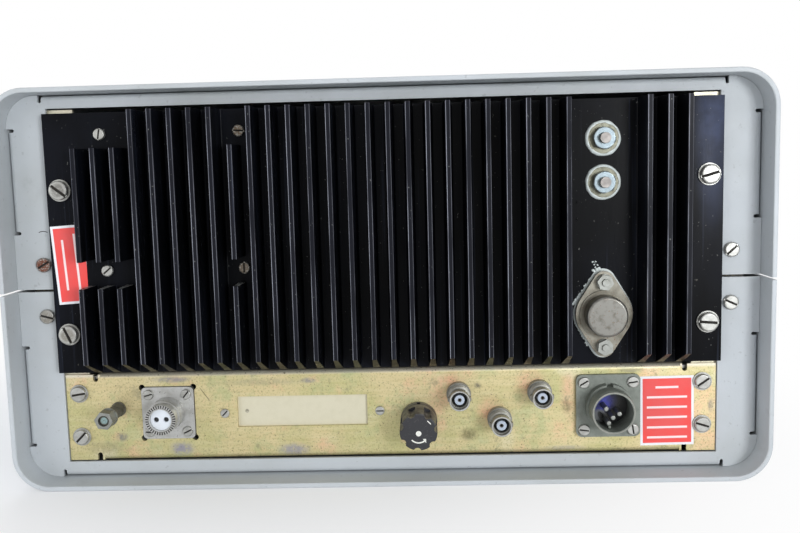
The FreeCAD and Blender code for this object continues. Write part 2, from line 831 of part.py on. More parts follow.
def backing_plate():
    """The plate behind the square cut-out, which carries the two-pin socket."""
    half = socket_flange / 2 + 4.0
    y1 = panel_back
    y0 = y1 - panel_sheet
    plate = block(socket_x - half, socket_x + half, y0, y1, socket_z - half, socket_z + half)
    cuts = [rod(socket_x, socket_z, socket_barrel_radius + hole_gap, y0 - 1, y1 + 1)]
    cuts += corner_holes(socket_x, socket_z, socket_screw_spacing, flange_screw_radius + thread_gap,
                         y0 - 1, y1 + 1)
    cuts += socket_reliefs(y0 - 1, y1 + 1)
    return without(plate, cuts)


def two_pin_shell():
    """The square flange with its round barrel and the narrower ring at its mouth."""
    half = socket_flange / 2
    tip = frame_face + socket_tip
    flange = rounded_block(socket_x - half, socket_x + half, socket_z - half, socket_z + half, 2.2,
                           panel_back, socket_flange_face)
    barrel = rod(socket_x, socket_z, socket_barrel_radius, panel_back - 9, tip - socket_ring_length)
    ring = rod(socket_x, socket_z, socket_ring_radius, tip - socket_ring_length, tip)
    cuts = [rod(socket_x, socket_z, socket_bore, panel_back - 10, tip + 1)]
    cuts += corner_holes(socket_x, socket_z, socket_screw_spacing, flange_screw_radius + hole_gap,
                         panel_back - 1, socket_flange_face + 1)
    return without(joined([flange, barrel, ring]), cuts)


def two_pin_insert():
    """The white insert with two contact holes."""
    tip = frame_face + socket_tip
    insert = rod(socket_x, socket_z, socket_bore - thread_gap, panel_back - 8, tip - 1.2)
    holes = [rod(socket_x + side * 2.35, socket_z, 1.25, tip - 9, tip) for side in (-1, 1)]
    return without(insert, holes)


def inlet_shell():
    """The square flange, the collar with its key notch and the barrel of the power inlet."""
    half = inlet_flange / 2
    tip = frame_face + inlet_tip
    flange = rounded_block(inlet_x - half, inlet_x + half, inlet_z - half, inlet_z + half, 2.8,
                           panel_face, inlet_flange_face)
    barrel = rod(inlet_x, inlet_z, inlet_barrel_radius, panel_back - 12, tip)
    collar_face = frame_face + inlet_collar_face
    collar = rod(inlet_x, inlet_z, inlet_collar_radius, inlet_flange_face, collar_face)
    cuts = [rod(inlet_x, inlet_z, inlet_bore, panel_back - 13, tip + 1),
            block(inlet_x - 1.5, inlet_x + 1.5, inlet_flange_face, collar_face + 1,
                  inlet_z + inlet_barrel_radius, inlet_z + inlet_collar_radius + 1)]
    cuts += corner_holes(inlet_x, inlet_z, inlet_screw_spacing, flange_screw_radius + hole_gap,
                         panel_face - 1, inlet_flange_face + 1)
    return without(joined([flange, collar, barrel]), cuts)


inlet_pins = ((2.6, 0.7), (-0.6, -3.6), (-3.6, -1.8), (1.4, -6.2))
inlet_floor = panel_face + 2.0


def inlet_insert():
    """The dark insert deep in the barrel that holds the pins."""
    insert = rod(inlet_x, inlet_z, inlet_bore - thread_gap, panel_back - 10, inlet_floor)
    holes = [rod(inlet_x + x, inlet_z + z, inlet_pin_radius + thread_gap, panel_back - 11, inlet_floor + 1)
             for x, z in inlet_pins]
    return without(insert, holes)


def inlet_contacts():
    """Four silver pins, solder ends behind."""
    tip = inlet_floor + inlet_pin_length
    return [rounded_rim(rod(inlet_x + x, inlet_z + z, inlet_pin_radius, panel_back - 16, tip), tip, 0.5)
            for x, z in inlet_pins]


def coax_body(x, z):
    """A jack body: foot ring, neck, two bayonet lugs and a wider rim, with its nut thread behind."""
    tip = frame_face + coax_tip
    rim_back = tip - coax_rim_length
    neck = rod(x, z, coax_neck_radius, panel_back - 8, rim_back)
    rim = rod(x, z, coax_barrel_radius, rim_back, tip)
    foot = rod(x, z, coax_foot_radius, panel_face, panel_face + 3.2)
    lug = rod(x, z, 5.55, rim_back - coax_lug_length, rim_back)
    lug = lug.common(block(x - 7, x + 7, panel_back, tip, z - 1, z + 1))
    cuts = [rod(x, z, coax_bore, rim_back + 0.8, tip + 1),
            rod(x, z, coax_inner_bore, panel_face + 1.5, rim_back + 1),
            rod(x, z, 1.6, panel_back - 9, panel_face + 2)]
    return without(joined([neck, rim, foot, lug]), cuts)


def coax_insulator(x, z):
    tip = frame_face + coax_tip
    sleeve = rod(x, z, 2.3, panel_face + 1.5, tip - 2.0)
    stem = rod(x, z, 1.6 - thread_gap, panel_back - 8, panel_face + 1.5)
    return joined([sleeve, stem]).cut(rod(x, z, 0.95, panel_back - 9, tip))


def coax_contact(x, z):
    tip = frame_face + coax_tip
    contact = rod(x, z, 0.95 - thread_gap, panel_back - 12, tip - 2.6)
    return contact.cut(rod(x, z, 0.6, tip - 8, tip))


def coax_nut(x, z):
    nut = hexagon(x, z, 14.0, panel_back - 2.6, panel_back)
    return nut.cut(rod(x, z, coax_neck_radius + thread_gap, panel_back - 4, panel_back + 1))


# Fuse

fuse_bezel_face = panel_face + fuse_bezel_depth
fuse_cap_face = frame_face + fuse_face
fuse_cap_back = fuse_bezel_face + 0.4
fuse_tube_back = panel_back - 38.0
fuse_stem_radius = 4.6
fuse_glass_radius = 3.2
fuse_length = 32.0
fuse_cartridge_front = fuse_cap_back + 6.0


def fuse_holder():
    """The moulded body: front ring with a notch, threaded tube, closed back with a tag."""
    bezel = rounded_rim(rod(fuse_x, fuse_z, fuse_bezel_radius, panel_face, fuse_bezel_face),
                        fuse_bezel_face, 0.7)
    tube = rod(fuse_x, fuse_z, fuse_tube_radius, fuse_tube_back, panel_face)
    tag = block(fuse_x - 2, fuse_x + 2, fuse_tube_back - 7, fuse_tube_back, fuse_z - 0.4, fuse_z + 0.4)
    cuts = [rod(fuse_x, fuse_z, fuse_stem_radius + shaft_gap, panel_back - 8, fuse_bezel_face + 1),
            rod(fuse_x, fuse_z, fuse_glass_radius + shaft_gap, fuse_tube_back + 2, panel_back - 8),
            block(fuse_x - 0.8, fuse_x + 0.8, panel_face + 1.5, fuse_bezel_face + 1,
                  fuse_z + fuse_bezel_radius - 2.0, fuse_z + fuse_bezel_radius + 1)]
    return without(joined([bezel, tube, tag]), cuts)


def fuse_nut():
    nut = hexagon(fuse_x, fuse_z, 17.0, panel_back - 3.5, panel_back)
    return nut.cut(rod(fuse_x, fuse_z, fuse_tube_radius + thread_gap, panel_back - 5, panel_back + 1))


def fuse_cap():
    """The scalloped cap with the hollow stem that grips the cartridge."""
    head = rod(fuse_x, fuse_z, fuse_cap_radius, fuse_cap_back, fuse_cap_face)
    head = rounded_rim(head, fuse_cap_face, 0.6)
    grooves = []
    for step in range(fuse_cap_grooves):
        angle = 2 * math.pi * step / fuse_cap_grooves + math.radians(fuse_cap_turned)
        reach = fuse_cap_radius + 0.5
        grooves.append(rod(fuse_x + reach * math.cos(angle), fuse_z + reach * math.sin(angle), 1.9,
                           fuse_cap_back + 4.0, fuse_cap_face + 1))
    stem = rod(fuse_x, fuse_z, fuse_stem_radius, panel_back - 7, fuse_cap_back)
    pocket = rod(fuse_x, fuse_z, fuse_glass_radius + shaft_gap, panel_back - 8, fuse_cartridge_front + 0.2)
    return without(joined([without(head, grooves), stem]), [pocket])


def fuse_cartridge():
    """The glass fuse with its two end caps, as one sealed piece."""
    back = fuse_cartridge_front - fuse_length
    glass = rod(fuse_x, fuse_z, fuse_glass_radius - 0.25, back, fuse_cartridge_front)
    ends = [rod(fuse_x, fuse_z, fuse_glass_radius, back, back + 6.5),
            rod(fuse_x, fuse_z, fuse_glass_radius, fuse_cartridge_front - 6.5, fuse_cartridge_front)]
    return joined([glass] + ends)


# Plates and labels

def blank_plate():
    """The bare plate seen through the window, a little larger than it."""
    half = window_screw_spacing / 2 + 4
    plate = block(window_x - half, window_x + half, panel_back - 0.8, panel_back,
                  window_z - window_height / 2 - 2.5, window_z + window_height / 2 + 2.5)
    holes = [rod(x, z, plate_screw_radius + thread_gap, panel_back - 2, panel_back + 1)
             for x, z in plate_screw_places]
    return without(plate, holes)


def blank_plate_screws():
    return [screw(x, z, panel_face, 2.2, 1.1, plate_screw_radius, panel_sheet + 2.5, turn)
            for (x, z), turn in zip(plate_screw_places, (45, 0))]


def right_label():
    """The label beside the inlet, clear of its flange and of the end screws' washers."""
    label = block(label_x - label_width / 2, label_x + label_width / 2, panel_face,
                  panel_face + label_sheet, label_z - label_height / 2, label_z + label_height / 2)
    label.rotate(Vector(label_x, 0, label_z), Vector(0, 1, 0), label_tilt)
    cuts = [rod(-panel_screw_x, z, 4.5, panel_face - 1, panel_face + 1) for z in panel_screw_z[-1]]
    half = inlet_flange / 2 + 0.1
    cuts.append(block(inlet_x - half, inlet_x + half, panel_face - 1, panel_face + 1, 0, cabinet_height))
    return without(label, cuts)


def left_label():
    """The slanted label on the sink's left strip, its edge cut along the root of the first fin."""
    label = block(left_label_x - left_label_width / 2, left_label_x + left_label_width / 2, sink_face,
                  sink_face + label_sheet, left_label_z - left_label_height / 2,
                  left_label_z + left_label_height / 2)
    label.rotate(Vector(left_label_x, 0, left_label_z), Vector(0, 1, 0), left_label_tilt)
    root = fin_x(0) + fin_root / 2 + fin_root_radius + hole_gap
    return label.cut(block(root - left_label_width, root, sink_face - 1, sink_face + 1, 0, cabinet_height))


# Front panel and its fixed parts

def front_panel():
    """The flat panel inside the front rim, with every hole for the controls."""
    half = inner_half - front_gap
    radius = corner_radius - shell_sheet - front_gap
    panel = rounded_block(-half, half, inner_low + front_gap, inner_high - front_gap, radius,
                          front_face, front_back)
    y0 = front_face - 1
    y1 = front_back + 1
    cuts = [rod(tuning_x, tuning_z, bushing_radius + hole_gap, y0, y1)]
    cuts += [rod(x, z, bushing_radius + hole_gap, y0, y1) for x in control_x for z in (selector_z, gain_z)]
    cuts += [rod(x, z, bushing_radius + hole_gap, y0, y1)
             for x, z in ((toggle_x, low_row_z), (toggle_x, lamp_z), (jack_x, low_row_z))]
    cuts.append(block(-dial_window_width / 2, dial_window_width / 2, y0, y1,
                      dial_window_z - dial_window_height / 2, dial_window_z + dial_window_height / 2))
    cuts.append(block(meter_x - meter_width / 2, meter_x + meter_width / 2, y0, y1,
                      meter_z - meter_height / 2, meter_z + meter_height / 2))
    cuts.append(rod(speaker_x, speaker_z, speaker_radius - 3, y0, y1))
    cuts += [rod(hand * front_screw_x, z, m4_radius + hole_gap, y0, y1)
             for hand in (-1, 1) for z in front_screw_z]
    return without(panel, cuts)


def front_screws():
    turns = (0, 40, 80, 20)
    places = [(hand * front_screw_x, z) for hand in (-1, 1) for z in front_screw_z]
    return [screw(x, z, front_face, 4.0, 2.0, m4_radius, front_sheet + rail_sheet + 1, turn, side=-1)
            for (x, z), turn in zip(places, turns)]


def bushing(x, z, bore):
    """A threaded bushing through the front panel with its nut outside."""
    neck = rod(x, z, bushing_radius, front_face - bushing_nut_height, front_back)
    nut = hexagon(x, z, bushing_nut, front_face - bushing_nut_height, front_face)
    collar = rod(x, z, bushing_radius + 2.5, front_back, front_back + 2.0)
    return without(joined([neck, nut, collar]), [rod(x, z, bore, front_face - 10, front_back + 10)])


def control_body(x, z):
    """A switch or potentiometer behind the panel, open in front for its shaft."""
    body = rod(x, z, control_body_radius, front_back, front_back + control_body_depth)
    tags = [block(x + step * 5 - 1, x + step * 5 + 1, front_back + 5, front_back + 6,
                  z - control_body_radius - 5, z - control_body_radius + 1) for step in (-1, 0, 1)]
    neck = rod(x, z, bushing_radius, front_face - bushing_nut_height, front_back)
    nut = hexagon(x, z, bushing_nut, front_face - bushing_nut_height, front_face)
    bore = rod(x, z, shaft_radius + shaft_gap, front_face - 10, front_back + control_body_depth - 2)
    return without(joined([body, neck, nut] + tags), [bore])


def toggle_body():
    """The power switch: a block behind the panel with an open bushing in front."""
    x, z = toggle_x, low_row_z
    body = block(x - 6.5, x + 6.5, front_back, front_back + 16, z - 8, z + 8)
    neck = rod(x, z, bushing_radius, front_face - 7, front_back)
    nut = hexagon(x, z, bushing_nut, front_face - bushing_nut_height, front_face)
    well = [rod(x, z, 3.4, front_face - 8, front_back + 6)]
    return without(joined([body, neck, nut]), well)


def toggle_lever():
    """The bat lever on its ball; at rest it points straight out in its off place."""
    x, z = toggle_x, low_row_z
    ball = Part.makeSphere(toggle_ball, Vector(x, toggle_pivot_y, z))
    bat = Part.makeCone(1.3, 2.4, toggle_length, Vector(x, toggle_pivot_y, z), Vector(0, -1, 0))
    end = Part.makeSphere(2.4, Vector(x, toggle_pivot_y - toggle_length, z))
    lever = joined([ball, bat, end])
    lever.rotate(Vector(x, toggle_pivot_y, z), Vector(1, 0, 0), -toggle_throw / 2)
    return lever


def knob_with_shaft(x, z, radius, depth):
    """A skirted knob and the shaft it is fixed to, two solids that turn together."""
    back = front_face - bushing_nut_height - knob_gap
    front = back - depth
    skirt = rod(x, z, radius, back - 3.0, back)
    skirt = rounded_rim(skirt, back - 3.0, 0.8)
    grip = rod(x, z, radius * 0.72, front, back - 3.0)
    grip = rounded_rim(grip, front, 1.2)
    flutes = []
    for step in range(16):
        angle = 2 * math.pi * step / 16
        reach = radius * 0.72 + 0.6
        flutes.append(rod(x + reach * math.cos(angle), z + reach * math.sin(angle), 1.3,
                          front - 1, back - 3.0))
    line = block(x - 0.5, x + 0.5, front - 1, front + 0.5, z + radius * 0.2, z + radius)
    knob = joined([skirt, without(grip, flutes)])
    bore = rod(x, z, shaft_radius + thread_gap, front + 4.0, back + 1)
    knob = without(knob, [line, bore])
    shaft = rod(x, z, shaft_radius, front + 4.2, front_back + control_body_depth - 3)
    return [knob, shaft]


# Tuning and dial

def tuning_knob():
    """The large knob with a finger dimple, bored for its shaft."""
    back = front_face - knob_gap
    front = back - tuning_knob_depth
    skirt = rounded_rim(rod(tuning_x, tuning_z, tuning_knob_radius, back - 5, back), back - 5, 1.0)
    grip_radius = tuning_knob_radius - 4
    grip = rounded_rim(rod(tuning_x, tuning_z, grip_radius, front, back - 5), front, 1.5)
    flutes = []
    for step in range(36):
        angle = 2 * math.pi * step / 36
        reach = grip_radius + 0.5
        flutes.append(rod(tuning_x + reach * math.cos(angle), tuning_z + reach * math.sin(angle), 1.2,
                          front + 1.6, back - 5))
    dimple = Part.makeSphere(9.0, Vector(tuning_x, front - 6.4, tuning_z + 14))
    hollow = rod(tuning_x, tuning_z, 10.0, back - 4, back + 1)
    bore = rod(tuning_x, tuning_z, shaft_radius + thread_gap, front + 5, back + 1)
    return without(joined([skirt, without(grip, flutes)]), [dimple, hollow, bore])


def tuning_shaft():
    """The shaft with the friction roller that drives the dial's rim."""
    front = front_face - knob_gap - tuning_knob_depth + 5.2
    roller_y = dial_back + dial_sheet + 0.5
    shaft = rod(tuning_x, tuning_z, shaft_radius, front, roller_y + 6)
    roller = rod(tuning_x, tuning_z, roller_radius - drive_gap, roller_y, roller_y + 3.6)
    return joined([shaft, roller])


def dial_disc():
    """The scale disc with the narrower driven rim behind it and a hub."""
    scale = rod(0, dial_z, dial_radius, dial_back, dial_back + dial_sheet)
    rim_y = dial_back + dial_sheet
    rim = rod(0, dial_z, dial_rim_radius, rim_y, rim_y + 4.0).cut(
        rod(0, dial_z, dial_rim_radius - 4, rim_y + 0.8, rim_y + 5))
    hub = rod(0, dial_z, 6.0, rim_y, rim_y + 4.0)
    bore = rod(0, dial_z, shaft_radius + shaft_gap, dial_back - 1, rim_y + 6)
    return without(joined([scale, rim, hub]), [bore])


def dial_spindle():
    """The fixed spindle behind the panel that the disc turns on."""
    base = rod(0, dial_z, 7.0, front_back, dial_back - 0.3)
    pin = rod(0, dial_z, shaft_radius, dial_back - 0.3, dial_back + dial_sheet + 5.0)
    clip = washer(0, dial_z, 5.0, shaft_radius - 0.01, dial_back + dial_sheet + 4.3,
                  dial_back + dial_sheet + 5.0)
    return joined([base, pin, clip])


def dial_window():
    """The clear window with its thin frame in front of the panel."""
    half = dial_window_width / 2 - 0.2
    tall = dial_window_height / 2 - 0.2
    pane = block(-half, half, front_face, front_back, dial_window_z - tall, dial_window_z + tall)
    lip = block(-half - 3, half + 3, front_face - 1.5, front_face, dial_window_z - tall - 3,
                dial_window_z + tall + 3)
    return joined([pane, lip])


# Meter

meter_pivot_z = meter_z - 12.0
meter_pivot_y = front_back + 7.0
needle_rest = 38.0
needle_length = 27.0


def meter_case():
    """An open box with a raised bezel in front and a bridge that carries the pivot pin."""
    half, tall = meter_width / 2 - 0.2, meter_height / 2 - 0.2
    outer = block(meter_x - half, meter_x + half, front_face - 4, front_face + meter_depth,
                  meter_z - tall, meter_z + tall)
    bezel = block(meter_x - half - 4, meter_x + half + 4, front_face - 4, front_face,
                  meter_z - tall - 4, meter_z + tall + 4)
    hollow = block(meter_x - half + meter_wall, meter_x + half - meter_wall, front_face - 5,
                   front_face + meter_depth - meter_wall, meter_z - tall + meter_wall,
                   meter_z + tall - meter_wall)
    case = joined([outer, bezel]).cut(hollow)
    plate = block(meter_x - half + meter_wall, meter_x + half - meter_wall, meter_pivot_y + 1.6,
                  meter_pivot_y + 2.6, meter_z - tall + meter_wall, meter_z + tall - meter_wall)
    pin = rod(meter_x, meter_pivot_z, 0.8, meter_pivot_y - 1.6, meter_pivot_y + 2.6)
    return joined([case, plate, pin])


def meter_glass():
    half, tall = meter_width / 2 - 0.25 - meter_wall, meter_height / 2 - 0.25 - meter_wall
    return block(meter_x - half, meter_x + half, front_face - 3.6, front_face - 2.2,
                 meter_z - tall, meter_z + tall)


def meter_needle():
    """The pointer with its hub and short tail, leaning left at rest."""
    y0 = meter_pivot_y - 0.5
    y1 = meter_pivot_y + 0.3
    hub = rod(meter_x, meter_pivot_z, 2.4, y0 - 0.6, y1 + 0.6)
    pointer = block(meter_x - 0.4, meter_x + 0.4, y0, y1, meter_pivot_z, meter_pivot_z + needle_length)
    tail = block(meter_x - 1.2, meter_x + 1.2, y0, y1, meter_pivot_z - 5.5, meter_pivot_z)
    needle = joined([hub, pointer, tail]).cut(
        rod(meter_x, meter_pivot_z, 0.8 + shaft_gap, y0 - 2, y1 + 2))
    needle.rotate(Vector(meter_x, 0, meter_pivot_z), Vector(0, 1, 0), -needle_rest)
    return needle


# Speaker, lamp and jack

def speaker():
    """The basket, cone and magnet as one round solid with a hollow cone in front."""
    back = front_back + 1.2
    basket = rod(speaker_x, speaker_z, speaker_radius, back, back + 2.5)
    cone = Part.makeCone(speaker_radius - 3, 14.0, speaker_depth - 10,
                         Vector(speaker_x, back + 2.5, speaker_z), Vector(0, 1, 0))
    magnet = rod(speaker_x, speaker_z, 16.0, back + speaker_depth - 8, back + speaker_depth)
    inner = Part.makeCone(speaker_radius - 5, 10.0, speaker_depth - 12,
                          Vector(speaker_x, back - 0.01, speaker_z), Vector(0, 1, 0))
    return joined([basket, cone, magnet]).cut(inner)


def speaker_grille():
    """A slotted plate between the panel's hole and the speaker."""
    reach = speaker_radius + 4
    plate = block(speaker_x - reach, speaker_x + reach, front_back, front_back + 1.2,
                  speaker_z - reach, speaker_z + reach)
    slots = []
    count = int((speaker_radius - 6) / grille_pitch)
    for step in range(-count, count + 1):
        z = speaker_z + step * grille_pitch
        half = math.sqrt((speaker_radius - 5) ** 2 - (step * grille_pitch) ** 2)
        slots.append(block(speaker_x - half, speaker_x + half, front_back - 1, front_back + 2,
                           z - grille_slot / 2, z + grille_slot / 2))
    return without(plate, slots)


def pilot_lamp():
    """A jewelled lamp: bezel in front, holder behind."""
    x, z = toggle_x, lamp_z
    jewel = rounded_rim(rod(x, z, 5.6, front_face - 5, front_face), front_face - 5, 2.0)
    neck = rod(x, z, bushing_radius, front_face, front_back + 3)
    holder = rod(x, z, 6.5, front_back + 3, front_back + 24)
    return joined([jewel, neck, holder])


def phones_jack():
    """The headphone socket with its nut and the frame behind."""
    x, z = jack_x, low_row_z
    neck = rod(x, z, bushing_radius, front_face - bushing_nut_height, front_back + 1)
    nut = hexagon(x, z, bushing_nut, front_face - bushing_nut_height, front_face)
    frame = block(x - 8, x + 8, front_back, front_back + 30, z - 8, z + 8)
    bore = rod(x, z, 3.25, front_face - 5, front_back + 28)
    return without(joined([neck, nut, frame]), [bore])


# Inside parts

def transformer_core():
    """The laminated stack on its side with two windows, feet bent out at the bottom."""
    x, y = transformer_x, transformer_y
    low = deck_top + 2.0
    stack = block(x - stack_width / 2, x + stack_width / 2, y - stack_depth / 2, y + stack_depth / 2,
                  low, low + stack_height)
    limb = stack_width / 6
    windows = [block(x + hand * limb, x + hand * 2 * limb, y - stack_depth, y + stack_depth,
                     low + winding_margin, low + stack_height - winding_margin) for hand in (-1, 1)]
    strap = block(x - stack_width / 2 - 10, x + stack_width / 2 + 10, y - 9, y + 9, deck_top, low)
    return joined([without(stack, windows), strap])


def transformer_winding():
    """The coil round the middle limb, bulging in front and behind the stack."""
    x, y = transformer_x, transformer_y
    low = deck_top + 2.0 + winding_margin + 0.3
    high = deck_top + 2.0 + stack_height - winding_margin - 0.3
    limb = stack_width / 6
    reach = 2 * limb - 0.3
    coil = block(x - reach, x + reach, y - stack_depth / 2 - 10, y + stack_depth / 2 + 10, low, high)
    core = block(x - limb - 0.3, x + limb + 0.3, y - stack_depth / 2 - 0.3, y + stack_depth / 2 + 0.3,
                 low - 1, high + 1)
    return coil.cut(core)


def capacitors():
    """Two tall filter cans standing on the deck."""
    cans = []
    for y in capacitor_y:
        can = post(capacitor_x, y, capacitor_radius, deck_top, deck_top + capacitor_height)
        ring = post(capacitor_x, y, capacitor_radius + 3, deck_top, deck_top + 8)
        cans.append(joined([can, ring]))
    return cans


board_corners = [(x + inset_x, y + inset_y)
                 for x, inset_x in ((board_x[0], 6), (board_x[1], -6))
                 for y, inset_y in ((board_y[0], 6), (board_y[1], -6))]
board_low = deck_top + post_height


def board_posts():
    return [post(x, y, 3.0, deck_top, board_low) for x, y in board_corners]


def circuit_board():
    """The main board with its shield cans, coils and row of small parts."""
    top = board_low + board_sheet
    board = block(board_x[0], board_x[1], board_y[0], board_y[1], board_low, top)
    pieces = [board]
    for column in range(3):
        for row in range(3):
            x = board_x[0] + 22 + 30 * column
            y = board_y[0] + 24 + 44 * row
            pieces.append(block(x, x + 12, y, y + 12, top, top + 18))
            pieces.append(post(x + 20, y + 18, 3.5, top, top + 11))
            pieces.append(block(x, x + 8, y + 18, y + 21, top, top + 3))
    return joined(pieces)


def socket_screws():
    """The screws of the two flanged connectors."""
    small = corner_screws(socket_x, socket_z, socket_screw_spacing, socket_flange_face, 2.45,
                          flange_screw_radius, socket_flange_sheet + panel_sheet + 1.5, (15, -5, 50, 25))
    large = corner_screws(inlet_x, inlet_z, inlet_screw_spacing, inlet_flange_face, 2.7,
                          flange_screw_radius, inlet_flange_sheet + panel_sheet + 1.5, (30, -8, 8, -80))
    return small + large


os.makedirs("parts", exist_ok=True)

write("upper_shell", cabinet_half(1))
write("lower_shell", cabinet_half(-1))
write("upper_rear_frame", rear_frame(1))
write("lower_rear_frame", rear_frame(-1))
write("case_screws", *(cabinet_screws() + front_screws()))
write("left_side_rail", side_rail(-1))
write("right_side_rail", side_rail(1))
write("chassis_deck", chassis_deck())

write("heat_sink", heat_sink())
write("heat_sink_screws", *sink_screws())
write("regulator_board", regulator_board())
write("stud_diodes", *stud_diodes())
write("diode_nuts", *diode_nuts())
write("transistor_insulator", transistor_insulator())
write("power_transistor", power_transistor())
write("transistor_screws", *transistor_screws())

write("rear_panel", rear_panel())
write("rear_panel_screws", *panel_screws())
write("ground_stud", ground_stud())
write("socket_backing_plate", backing_plate())
write("two_pin_shell", two_pin_shell())
write("two_pin_insert", two_pin_insert())
write("power_inlet_shell", inlet_shell())
write("power_inlet_insert", inlet_insert())
write("power_inlet_pins", *inlet_contacts())
write("small_screws", *(board_screws() + socket_screws() + blank_plate_screws()))
write("coax_jack_bodies", *[coax_body(x, z) for x, z in coax_places])
write("coax_jack_insulators", *[coax_insulator(x, z) for x, z in coax_places])
write("coax_jack_contacts", *[coax_contact(x, z) for x, z in coax_places])
write("fuse_holder", fuse_holder())
write("rear_nuts", *(ground_nuts() + [coax_nut(x, z) for x, z in coax_places] + [fuse_nut()]))
write("fuse_cap", fuse_cap())
write("fuse_cartridge", fuse_cartridge())
write("blank_plate", blank_plate())
write("right_label", right_label())
write("left_label", left_label())

write("front_panel", front_panel())
write("tuning_knob", tuning_knob())
write("tuning_shaft", tuning_shaft())
write("dial_disc", dial_disc())
write("dial_spindle", dial_spindle())
write("dial_window", dial_window())
write("band_knob", *knob_with_shaft(control_x[0], selector_z, selector_radius, small_knob_depth))
write("mode_knob", *knob_with_shaft(control_x[1], selector_z, selector_radius, small_knob_depth))
write("af_gain_knob", *knob_with_shaft(control_x[0], gain_z, gain_radius, small_knob_depth))
write("rf_gain_knob", *knob_with_shaft(control_x[1], gain_z, gain_radius, small_knob_depth))
write("control_bodies", *([control_body(x, z) for x in control_x for z in (selector_z, gain_z)]
                          + [toggle_body(), bushing(tuning_x, tuning_z, shaft_radius + shaft_gap)]))
write("power_toggle", toggle_lever())
write("meter_case", meter_case())
write("meter_glass", meter_glass())
write("meter_needle", meter_needle())
write("speaker", speaker())
write("speaker_grille", speaker_grille())
write("pilot_lamp", pilot_lamp())
write("phones_jack", phones_jack())
write("transformer_core", transformer_core())
write("transformer_winding", transformer_winding())
write("capacitors", *capacitors())
write("board_spacers", *(board_posts() + regulator_spacers()))
write("circuit_board", circuit_board())
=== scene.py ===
import math
import random

import bmesh
import bpy
from mathutils import Matrix, Vector


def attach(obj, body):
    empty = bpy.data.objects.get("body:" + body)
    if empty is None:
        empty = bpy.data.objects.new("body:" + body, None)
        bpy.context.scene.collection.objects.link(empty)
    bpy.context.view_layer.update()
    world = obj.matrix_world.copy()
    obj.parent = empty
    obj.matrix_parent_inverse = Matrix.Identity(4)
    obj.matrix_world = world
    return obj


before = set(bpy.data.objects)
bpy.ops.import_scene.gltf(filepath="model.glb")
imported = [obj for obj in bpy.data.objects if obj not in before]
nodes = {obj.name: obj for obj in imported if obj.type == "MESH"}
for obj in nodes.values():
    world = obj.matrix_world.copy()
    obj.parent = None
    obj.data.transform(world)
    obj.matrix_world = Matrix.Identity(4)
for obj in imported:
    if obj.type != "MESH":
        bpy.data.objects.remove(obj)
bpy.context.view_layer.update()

MM = 0.001

# The camera: place in metres, turn in degrees, lens and sensor in millimetres
CAMERA_PLACE = (-0.0201, 0.5590, 0.1480)
CAMERA_TURN = (83.586, 1.484, -178.407)
CAMERA_LENS = 39.25
CAMERA_SENSOR = 36

# Light from all round, and the lamps: name, place, target, size, power, colour
WORLD_LIGHT = 0.68
LAMPS = (
    ("key", (-0.55, 1.15, 0.2), (0, 0.15, 0.1), 0.3, 6.0, (0.96, 0.98, 1.0)),
    ("fill", (0.9, 0.8, 0.15), (0, 0.1, 0.08), 0.7, 3.0, (0.98, 0.99, 1.0)),
    ("front_fill", (0.3, -1.3, 0.9), (0, -0.1, 0.08), 1.2, 10.0, (1, 1, 1)),
)

# Places on the object in millimetres, as in the CAD
FRAME_FACE = 151.0
SINK_FACE = 156.3
PANEL_FACE = 150.1
SEAM = 94.3
FRONT_FACE = -147.1
FIRST_FIN = 136.63
FIN_PITCH = 8.815
FIN_TIP = 171.9
SOCKET = (106.4, 33.4)
SOCKET_TIP = 163.6
SOCKET_RING = 7.3
INLET = (-104.8, 33.5)
INLET_TIP = 165.3
INLET_COLLAR = 156.5
INLET_BARREL = 9.9
COAX = ((-34.0, 40.4), (-72.4, 40.7), (-53.3, 27.9))
COAX_TIP = 165.0
COAX_NECK = 4.4
GROUND = (130.6, 35.6)
FUSE = (-14.7, 27.8)
FUSE_FACE = 171.0
FLAT_X = -101.4
DIODES = (159.3, 139.4)
TRANSISTOR_Z = 78.8
EAR_REACH = 15.075
RIGHT_LABEL = dict(x=-133.0, z=30.1, width=25.3, height=33.7, tilt=0.5)
LEFT_LABEL = dict(x=146.35, z=107.1, width=16.3, height=37.0, tilt=3.3)
KNOBS = {"band_selector": (62.0, 76.0, 16.0), "mode_selector": (112.0, 76.0, 16.0),
         "af_gain": (62.0, 32.0, 11.5), "rf_gain": (112.0, 32.0, 11.5)}
KNOB_FRONT = -167.3
LAMP = (-62.0, 76.0)
DIAL_Z = 114.0
DIAL_FACE = -139.1
METER = (104.0, 126.0)
METER_PLATE = -135.5
WINDOW_Z = 142.0

# Drawn only here: a fin's bright edge as a share of the pitch, and the teeth on the socket's ring
FIN_EDGE = 0.106
SOCKET_TEETH = 36

# Marks round the knobs: half of their sweep in degrees, and how many
SELECTOR_MARKS = (60, 5)
GAIN_MARKS = (150, 11)

# Printed scales: radii in millimetres, counts, and the needle's whole swing in degrees
DIAL_RING = 37.4
DIAL_TICKS = 144
DIAL_NUMBERS = 36
DIAL_NUMBER_REACH = 28.5
METER_ARC = 21.5
METER_STEPS = 10
METER_SWING = 76.0
METER_NUMBER_REACH = 27.0

# Seed of the squeezed-out grease
GREASE_SEED = 11

